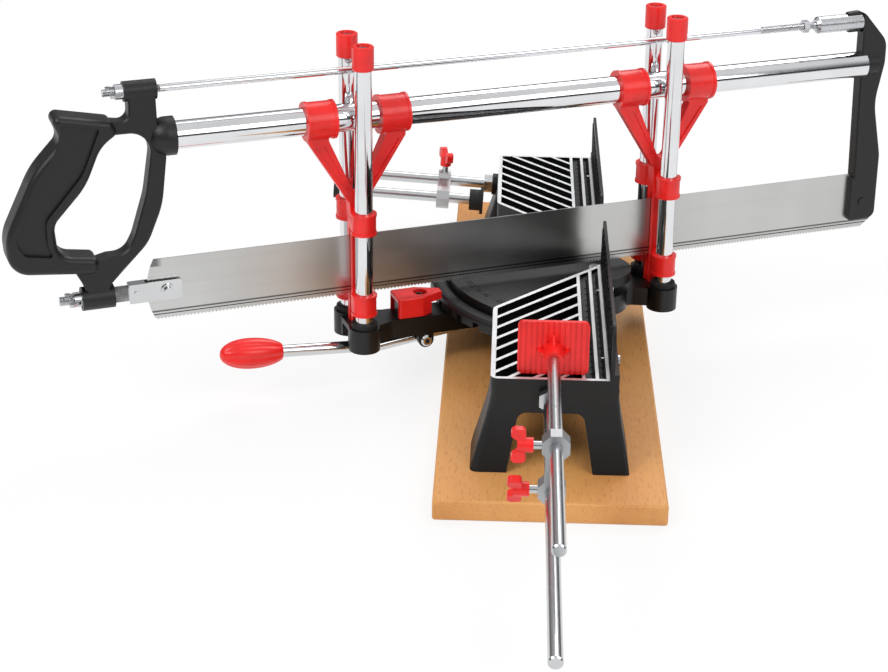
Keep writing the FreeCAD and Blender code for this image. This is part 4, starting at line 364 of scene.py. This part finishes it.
FINISHES = {
    # Black enamel on the casting, with bright milled ribs
    "paint": lambda: paint("Casting paint", look().black, 0.42, RIB_TOPS),
    "arm": lambda: paint("Arm paint", look().black, 0.34),
    "fence": lambda: paint("Fence paint", look().black, 0.38),
    # Warm and half matt, with fine dark flecks
    "wood": lambda: wood("Beech", look().beech, look().grain),
    # A polished mould gives soft highlights
    "red": lambda: plastic("Red plastic", look().red, 0.3, shade=look().shade),
    # A grained mould leaves the handle satin
    "black": lambda: plastic("Black plastic", look().handle, 0.42, grained=True),
    # Dull, with no clear highlight; on the lever pin's head it is also the painted shade of the cross recess
    "rubber_and_painted_shade": lambda: plastic("Rubber and painted shade", "#151515", 0.65, grained=True),
    # Grey on black, a painted highlight standing in for the faint glints on the black relief, so that the
    # strips and marks only just show
    "scale": lambda: plastic("Scale", "#1d1e20", 0.5, grained=True),
    # Clear reflections on the posts and the tube
    "chrome": lambda: metal("Chrome", "#e4e5e7", 0.07),
    # Softer and greyer than chrome
    "zinc": lambda: metal("Zinc plate", "#c9cbce", 0.26),
    # Nickel on stamped and turned parts, between chrome and zinc
    "bright": lambda: metal("Bright plate", "#d4d5d6", 0.15, depth=0.06),
    # Drawing marks along X
    "rod": lambda: metal("Drawn rod", "#cfd1d3", 0.22, stretch=(1, 30, 30)),
    # A grainy, unpolished casting
    "cast": lambda: metal("Cast zinc", "#b4b6b8", 0.36, depth=0.2),
    # Mirrors what lies before it, drawn out upwards, with two dark lines above the teeth painted in as a
    # reflection of the dark table
    "blade": lambda: blade_steel("Blade", look().steel),
    # Threads only at the ends of the rod
    "tension": lambda: metal("Tension rod", "#dcdde0", 0.12, threads=ROD_THREADS),
    "stud": lambda: metal("Threaded stud", "#c9cbce", 0.24, threads=STUD_THREADS),
}
MADE = {}


def finish_of(name):
    """Each finish is made once."""
    if name not in MADE:
        MADE[name] = FINISHES[name]()
    return MADE[name]


def take(item):
    """Selects one object alone and makes it the active one."""
    bpy.ops.object.select_all(action="DESELECT")
    item.select_set(True)
    bpy.context.view_layer.objects.active = item


def wear(item, finish):
    """Gives an object a finish, and smooth shading between its sharp edges."""
    item.data.materials.clear()
    item.data.materials.append(finish_of(finish))
    take(item)
    bpy.ops.object.shade_smooth_by_angle(angle=SMOOTH_ANGLE)
    item.select_set(False)


def finish_nodes(finish, *nodes):
    for node in nodes:
        wear(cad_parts[node], finish)


def begin(name, kind, **settings):
    """Adds a primitive, with nothing else selected, and opens it in edit mode."""
    bpy.ops.object.select_all(action="DESELECT")
    getattr(bpy.ops.mesh, f"primitive_{kind}_add")(location=ORIGIN, **settings)
    item = bpy.context.object
    item.name = name
    item.data.name = name
    bpy.ops.object.mode_set(mode="EDIT")
    return item


def block(name, size, middle):
    """A cube brought to a size and place in millimetres, left in edit mode."""
    item = begin(name, "cube", size=1)
    pick_all()
    grow(*[side * MM for side in size])
    move(*[side * MM for side in middle])
    return item


def leave():
    """Back from edit mode, which writes the edits to the mesh."""
    bpy.ops.object.mode_set(mode="OBJECT")


def pick_all():
    bpy.ops.mesh.select_all(action="SELECT")


def pick(item, test, kind="FACE"):
    """Selects the faces or points that pass a test of their place and normal."""
    bpy.ops.mesh.select_mode(type=kind)
    bpy.ops.mesh.select_all(action="DESELECT")
    leave()
    for part in item.data.polygons if kind == "FACE" else item.data.vertices:
        part.select = test(part.center if kind == "FACE" else part.co, part.normal)
    bpy.ops.object.mode_set(mode="EDIT")


def upward(spot, normal):
    return normal.z > 0.9


def push(x, y, z):
    """Draws the selected faces out."""
    bpy.ops.mesh.extrude_region_move(TRANSFORM_OT_translate={"value": (x, y, z)})


def move(x, y, z):
    bpy.ops.transform.translate(value=(x, y, z))


def grow(x, y, z, middle=ORIGIN):
    bpy.ops.transform.resize(value=(x, y, z), center_override=middle)


def apply_modifier(item, kind, **settings):
    made = item.modifiers.new(kind.title(), kind)
    for key, value in settings.items():
        setattr(made, key, value)
    bpy.ops.object.modifier_apply(modifier=made.name)


def lay(item, spot, turn):
    """Turns and moves a piece, then puts that into its mesh."""
    item.matrix_world = Matrix.Translation(spot) @ turn
    bpy.ops.object.transform_apply(location=True, rotation=True, scale=True)


def settle(item, finish, body, slot, *nodes):
    """A finished piece: its finish, its body and the solids that it stands for."""
    wear(item, finish)
    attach(item, body)
    if nodes:
        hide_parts(*nodes)


def mirrored(item, name):
    """A copy with its own mesh on the other half of the table."""
    take(item)
    bpy.ops.object.duplicate(linked=False)
    copy = bpy.context.object
    copy.name = name
    copy.data.name = name
    bpy.ops.object.mode_set(mode="EDIT")
    pick_all()
    grow(-1, 1, 1)
    bpy.ops.mesh.flip_normals()
    leave()
    return copy


def joined(parts):
    """Several meshes as one; the first keeps its name."""
    take(parts[0])
    for part in parts[1:]:
        part.select_set(True)
    bpy.ops.object.join()
    return parts[0]


class MITRESAW_OT_base(bpy.types.Operator):
    """Board, casting, fences and pivot"""

    bl_idname = "mitre_saw.base"
    bl_label = "Board and table"
    bl_options = {"REGISTER", "UNDO"}

    def execute(self, context):
        finish_nodes("wood", "base_board")
        finish_nodes("paint", "table_casting")
        finish_nodes("fence", "fence_near", "fence_far")
        finish_nodes("zinc", "fence_screws", "board_screws", "pivot_bolt", "pivot_washer", "pivot_nut")
        return {"FINISHED"}


class MITRESAW_OT_arm(bpy.types.Operator):
    """Swinging arm with its posts, lever and latch"""

    bl_idname = "mitre_saw.arm"
    bl_label = "Arm"
    bl_options = {"REGISTER", "UNDO"}

    def execute(self, context):
        finish_nodes("arm", "swing_arm")
        for corner in ("front_near", "front_far", "rear_near", "rear_far"):
            finish_nodes("chrome", "post_" + corner)
            finish_nodes("red", "cap_" + corner)
        finish_nodes("red", "latch_button")
        finish_nodes("rubber_and_painted_shade", "post_bumpers", "latch_peg")
        finish_nodes("bright", "lock_lever", "lever_pin")
        finish_nodes("zinc", "post_screws", "latch_spring")
        return {"FINISHED"}


class MITRESAW_OT_saw(bpy.types.Operator):
    """Saw frame, handle, blade and guides"""

    bl_idname = "mitre_saw.saw"
    bl_label = "Saw"
    bl_options = {"REGISTER", "UNDO"}

    def execute(self, context):
        finish_nodes("red", "guide_front", "guide_rear")
        finish_nodes("chrome", "frame_tube")
        finish_nodes("tension", "tension_rod")
        finish_nodes("stud", "blade_stud")
        finish_nodes("black", "handle", "end_bracket")
        finish_nodes("blade", "saw_blade")
        finish_nodes("zinc", "rod_lock_nut", "rod_clevis", "clevis_pin", "rod_wing_nut", "blade_wing_nut")
        finish_nodes("bright", "blade_holder", "stud_rivet", "front_blade_pin", "rear_blade_pin")
        return {"FINISHED"}


class MITRESAW_OT_stop(bpy.types.Operator):
    """Length stop"""

    bl_idname = "mitre_saw.stop"
    bl_label = "Length stop"
    bl_options = {"REGISTER", "UNDO"}

    def execute(self, context):
        finish_nodes("rod", "stop_rod_lower", "stop_rod_upper")
        finish_nodes("zinc", "stop_rod_nut", "stop_stud_upper", "stop_stud_lower")
        finish_nodes("cast", "stop_bracket")
        finish_nodes("red", "stop_plate", "stop_wing_upper", "stop_wing_lower")
        return {"FINISHED"}


class MITRESAW_OT_clamp(bpy.types.Operator):
    """Work clamp"""

    bl_idname = "mitre_saw.clamp"
    bl_label = "Work clamp"
    bl_options = {"REGISTER", "UNDO"}

    def execute(self, context):
        finish_nodes("rod", "clamp_rod", "clamp_spindle")
        finish_nodes("zinc", "clamp_rod_nut", "clamp_stud")
        finish_nodes("cast", "clamp_bracket")
        finish_nodes("red", "clamp_wing")
        finish_nodes("rubber_and_painted_shade", "clamp_foot", "clamp_knob")
        return {"FINISHED"}


class MITRESAW_OT_grip(bpy.types.Operator):
    """Fluted grip on the lock lever"""

    bl_idname = "mitre_saw.grip"
    bl_label = "Lever grip"
    bl_options = {"REGISTER", "UNDO"}

    def execute(self, context):
        item = self.turned()
        self.flute(item)
        pick_all()
        bpy.ops.mesh.normals_make_consistent(inside=False)
        leave()
        apply_modifier(item, "SUBSURF", levels=2)
        half = GRIP_PROFILE[-1][0] / 2
        reach, height = GRIP_MIDDLE
        start = Vector((0, reach + half, height - half * math.tan(LEVER_TILT))) * MM
        lean = Matrix.Rotation(math.radians(90) - LEVER_TILT, 4, "X")
        lay(item, TURN @ start, TURN @ lean)
        settle(item, "red", "lever", "plastic_red", "lever_grip")
        return {"FINISHED"}

    def turned(self):
        """A disc drawn out along its profile, ring by ring."""
        level, wide = GRIP_PROFILE[0]
        item = begin("Lever_grip", "circle", vertices=GRIP_SIDES, radius=wide * MM, fill_type="NGON")
        pick_all()
        for height, radius in GRIP_PROFILE[1:]:
            push(0, 0, (height - level) * MM)
            grow(radius / wide, radius / wide, 1)
            level, wide = height, radius
        return item

    def flute(self, item):
        """Draws every fourth line of points in, between the two ends."""
        step = 2 * math.pi / GRIP_SIDES
        low, high = (edge * MM for edge in GRIP_FLUTES)

        def in_flute(spot, normal):
            line = round(math.atan2(spot.y, spot.x) / step)
            return line % GRIP_FLUTE_STEP == 0 and low < spot.z < high

        pick(item, in_flute, "VERT")
        grow(1 - look().flute, 1 - look().flute, 1)


def slanted_edge(y):
    """How far out the table's slanted edge lies at a depth, inside its rim, in millimetres."""
    return EDGE_START[0] + (EDGE_START[1] - y) * EDGE_SLOPE


class MITRESAW_OT_scales(bpy.types.Operator):
    """Scale strips beside the fences"""

    bl_idname = "mitre_saw.scales"
    bl_label = "Scale strips"
    bl_options = {"REGISTER", "UNDO"}

    def execute(self, context):
        for name, front, back in BAYS:
            strip = self.strip(front, back)
            strip.name = f"Scale_{name}_right"
            settle(strip, "scale", "base", "painted_black")
            settle(mirrored(strip, f"Scale_{name}_left"), "scale", "base", "painted_black")
        return {"FINISHED"}

    def strip(self, front, back):
        """A shallow tray that fills the bay up to its slanted edge, with a rule's marks along its rear."""
        start = slanted_edge(back)
        front, back = front + STRIP_PLAY, back - STRIP_PLAY
        middle = (front + back) / 2
        tray = block(
            "Scale", (BAY_END - start, back - front, STRIP_TOP - BAY_FLOOR),
            ((start + BAY_END) / 2, middle, (BAY_FLOOR + STRIP_TOP) / 2),
        )
        halfway = (start + BAY_END) / 2 * MM
        pick(tray, lambda spot, normal: spot.x < halfway and spot.y < middle * MM, "VERT")
        move((slanted_edge(front) - start) * MM, 0, 0)
        pick(tray, upward)
        bpy.ops.mesh.inset(thickness=STRIP_WALL * MM)
        move(0, 0, -STRIP_DEPTH * MM)
        leave()
        rows = [self.row(front, back, pitch, reach) for pitch, reach in RULE_MARKS]
        return joined([tray, *rows])

    def row(self, front, back, pitch, reach):
        """One bevelled mark, repeated along the strip."""
        wide, tall = RULE_MARK
        first = math.ceil(slanted_edge(front) / pitch + 1) * pitch
        mark = block(
            "Mark", (wide, reach, tall), (first, back - STRIP_WALL - reach / 2, STRIP_TOP - RULE_SINK),
        )
        pick(mark, upward)
        grow(MARK_TAPER, 1, 1, (first * MM, 0, STRIP_TOP * MM))
        leave()
        apply_modifier(
            mark, "ARRAY", count=int((BAY_END - RULE_END - first) / pitch) + 1,
            use_relative_offset=False, use_constant_offset=True, constant_offset_displace=(pitch * MM, 0, 0),
        )
        return mark


class MITRESAW_OT_dial(bpy.types.Operator):
    """Degree marks and plain numbers on the quadrant"""

    bl_idname = "mitre_saw.dial"
    bl_label = "Quadrant marks"
    bl_options = {"REGISTER", "UNDO"}

    def execute(self, context):
        marks = joined([self.marks(), *[self.number(degrees) for degrees in DIAL_NUMBERS]])
        settle(marks, "scale", "base", "painted_black")
        return {"FINISHED"}

    def marks(self):
        """One bevelled mark, turned to the quadrant's end and spun on from there.

        Without a window both turns go clockwise, so only the first mark is on the quadrant's rim,
        and the others lie out of sight under the left half of the table.
        """
        item = block("Quadrant_marks", DIAL_MARK, (0, -DIAL_RADIUS, DIAL_TOP))
        pick(item, upward)
        grow(MARK_TAPER, DIAL_END_TAPER, 1, (0, -DIAL_RADIUS * MM, 0))
        pick_all()
        bpy.ops.transform.rotate(value=math.radians(DIAL_HALF), orient_axis="Z", center_override=ORIGIN)
        bpy.ops.mesh.spin(
            steps=DIAL_STEPS, dupli=True, angle=math.radians(2 * DIAL_HALF), center=ORIGIN, axis=(0, 0, 1),
        )
        leave()
        return item

    def number(self, degrees):
        bpy.ops.object.select_all(action="DESELECT")
        bpy.ops.object.text_add(location=ORIGIN)
        text = bpy.context.object
        text.data.body = f"{abs(degrees):g}"
        text.data.size = look().number
        text.data.extrude = NUMBER_RAISE * MM
        text.data.align_x = "CENTER"
        text.data.align_y = "CENTER"
        bpy.ops.object.convert(target="MESH")
        item = bpy.context.object
        turn = Matrix.Rotation(math.radians(degrees), 4, "Z")
        lay(item, turn @ Vector((0, -NUMBER_RADIUS, DIAL_TOP)) * MM, turn)
        return item


class MITRESAW_OT_recess(bpy.types.Operator):
    """Painted shade of the cross recess in the lever pin's head"""

    bl_idname = "mitre_saw.recess"
    bl_label = "Cross recess"
    bl_options = {"REGISTER", "UNDO"}

    def execute(self, context):
        # The upper and lower arms are drawn out with the sides of the other two, which fills the corners
        item = begin("Pin_recess_shade", "cube", size=RECESS_CORE * MM)
        tip = (RECESS_CORE / 2 + RECESS_ARM) * MM
        for way in (Vector((0, 1, 0)), Vector((0, -1, 0)), Vector((0, 0, 1)), Vector((0, 0, -1))):
            pick(item, lambda spot, normal: normal.dot(way) > 0.9 and spot.dot(way) < RECESS_CORE * MM)
            push(*(way * RECESS_ARM * MM))
            grow(1, RECESS_TAPER if way.z else 1, RECESS_TAPER if way.y else 1, tuple(way * tip))
        pick_all()
        grow(RECESS_SHARE, 1, 1)
        leave()
        lay(item, TURN @ Vector(RECESS_PLACE) * MM, TURN)
        # The dull black here is painted shade: a thin dark cross on the pin's head stands in for the
        # shadowed recess
        settle(item, "rubber_and_painted_shade", "arm", "zinc_steel")
        return {"FINISHED"}


class MITRESAW_OT_stage(bpy.types.Operator):
    """Floor, lights and camera"""

    bl_idname = "mitre_saw.stage"
    bl_label = "Stage"
    bl_options = {"REGISTER", "UNDO"}

    def execute(self, context):
        self.floor()
        self.world(context.scene)
        for name, place, size, power in LAMPS:
            self.lamp(name, Vector(place), size, power)
        self.camera(context.scene)
        context.scene.view_settings.view_transform = "Standard"
        return {"FINISHED"}

    def floor(self):
        """Pale ground that keeps the shadow, and shows as near white to the eye and in polished metal."""
        bpy.ops.mesh.primitive_plane_add(size=FLOOR_SIZE, location=(0, 0, -FLOOR_DROP))
        item = bpy.context.object
        item.name = "Floor"
        material, tree, shader = new_material("Floor")
        shader.inputs["Base Color"].default_value = linear("#f4f4f4")
        shader.inputs["Roughness"].default_value = 0.8
        white = add(tree, "Emission", {"Color": linear("#ffffff"), "Strength": 1.0})
        ray = add(tree, "LightPath")
        seen = maths(tree, "MAXIMUM", ray.outputs["Is Camera Ray"], ray.outputs["Is Glossy Ray"])
        blend_in(tree, maths(tree, "MULTIPLY", seen, 0.8), shader, white)
        item.data.materials.append(material)

    def world(self, scene):
        """A studio that is dark near the horizon, so polished metal gets its dark streaks."""
        scene.world = bpy.data.worlds.new("Studio")
        scene.world.use_nodes = True
        tree = scene.world.node_tree
        tree.nodes.clear()
        up = height_of(tree, add(tree, "TexCoord").outputs["Generated"])
        sky = ramp(tree, up, [(0.0, "#606163"), (0.12, "#3a3b3d"), (0.35, "#8e9093"), (0.7, "#f0f0f0")])
        shade = add(tree, "Background", {"Color": sky, "Strength": 0.9})
        plain = add(tree, "Background", {"Color": linear("#ffffff"), "Strength": 1.0})
        seen = add(tree, "LightPath").outputs["Is Camera Ray"]
        both = add(tree, "MixShader", {0: seen, 1: shade.outputs[0], 2: plain.outputs[0]})
        add(tree, "OutputWorld", {"Surface": both.outputs[0]})

    def lamp(self, name, place, size, power):
        bpy.ops.object.light_add(type="AREA", location=place)
        item = bpy.context.object
        item.name = name
        item.data.size = size
        item.data.energy = power
        item.rotation_euler = (LAMP_TARGET - place).to_track_quat("-Z", "Y").to_euler()

    def camera(self, scene):
        """The photograph's camera, from its heading, its tilt and its roll."""
        bpy.ops.object.camera_add()
        item = bpy.context.object
        item.name = "Camera"
        item.data.sensor_width = 36
        item.data.lens = CAMERA_LENS
        item.data.clip_start = 0.05
        yaw, pitch, roll = (math.radians(angle) for angle in CAMERA_ANGLES)
        level = math.cos(pitch)
        ahead = Vector((-math.cos(yaw) * level, math.sin(yaw) * level, -math.sin(pitch)))
        side = ahead.cross(Vector((0, 0, 1))).normalized()
        up = side.cross(ahead)
        right = side * math.cos(roll) + up * math.sin(roll)
        top = up * math.cos(roll) - side * math.sin(roll)
        turn = Matrix((right, top, -ahead)).transposed().to_4x4()
        item.matrix_world = Matrix.Translation(CAMERA_PLACE) @ turn
        scene.camera = item


OPERATORS = [
    MITRESAW_OT_base, MITRESAW_OT_arm, MITRESAW_OT_saw, MITRESAW_OT_stop, MITRESAW_OT_clamp,
    MITRESAW_OT_grip, MITRESAW_OT_scales, MITRESAW_OT_dial, MITRESAW_OT_recess, MITRESAW_OT_stage,
]


class MITRESAW_PT_panel(bpy.types.Panel):
    """Lists the colours, the sizes and the steps"""

    bl_idname = "MITRESAW_PT_panel"
    bl_label = "Mitre saw"
    bl_space_type = "VIEW_3D"
    bl_region_type = "UI"
    bl_category = "Mitre saw"

    def draw(self, context):
        for field in MITRESAW_PG_look.__annotations__:
            self.layout.prop(context.scene.mitre_saw, field)
        for operator in OPERATORS:
            self.layout.operator(operator.bl_idname)


CLASSES = [MITRESAW_PG_look, *OPERATORS, MITRESAW_PT_panel]


def register():
    for item in CLASSES:
        bpy.utils.register_class(item)
    bpy.types.Scene.mitre_saw = bpy.props.PointerProperty(type=MITRESAW_PG_look)


def unregister():
    del bpy.types.Scene.mitre_saw
    for item in reversed(CLASSES):
        bpy.utils.unregister_class(item)


def main():
    register()
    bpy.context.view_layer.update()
    for operator in OPERATORS:
        group, name = operator.bl_idname.split(".")
        getattr(getattr(bpy.ops, group), name)()


if __name__ == "__main__":
    main()
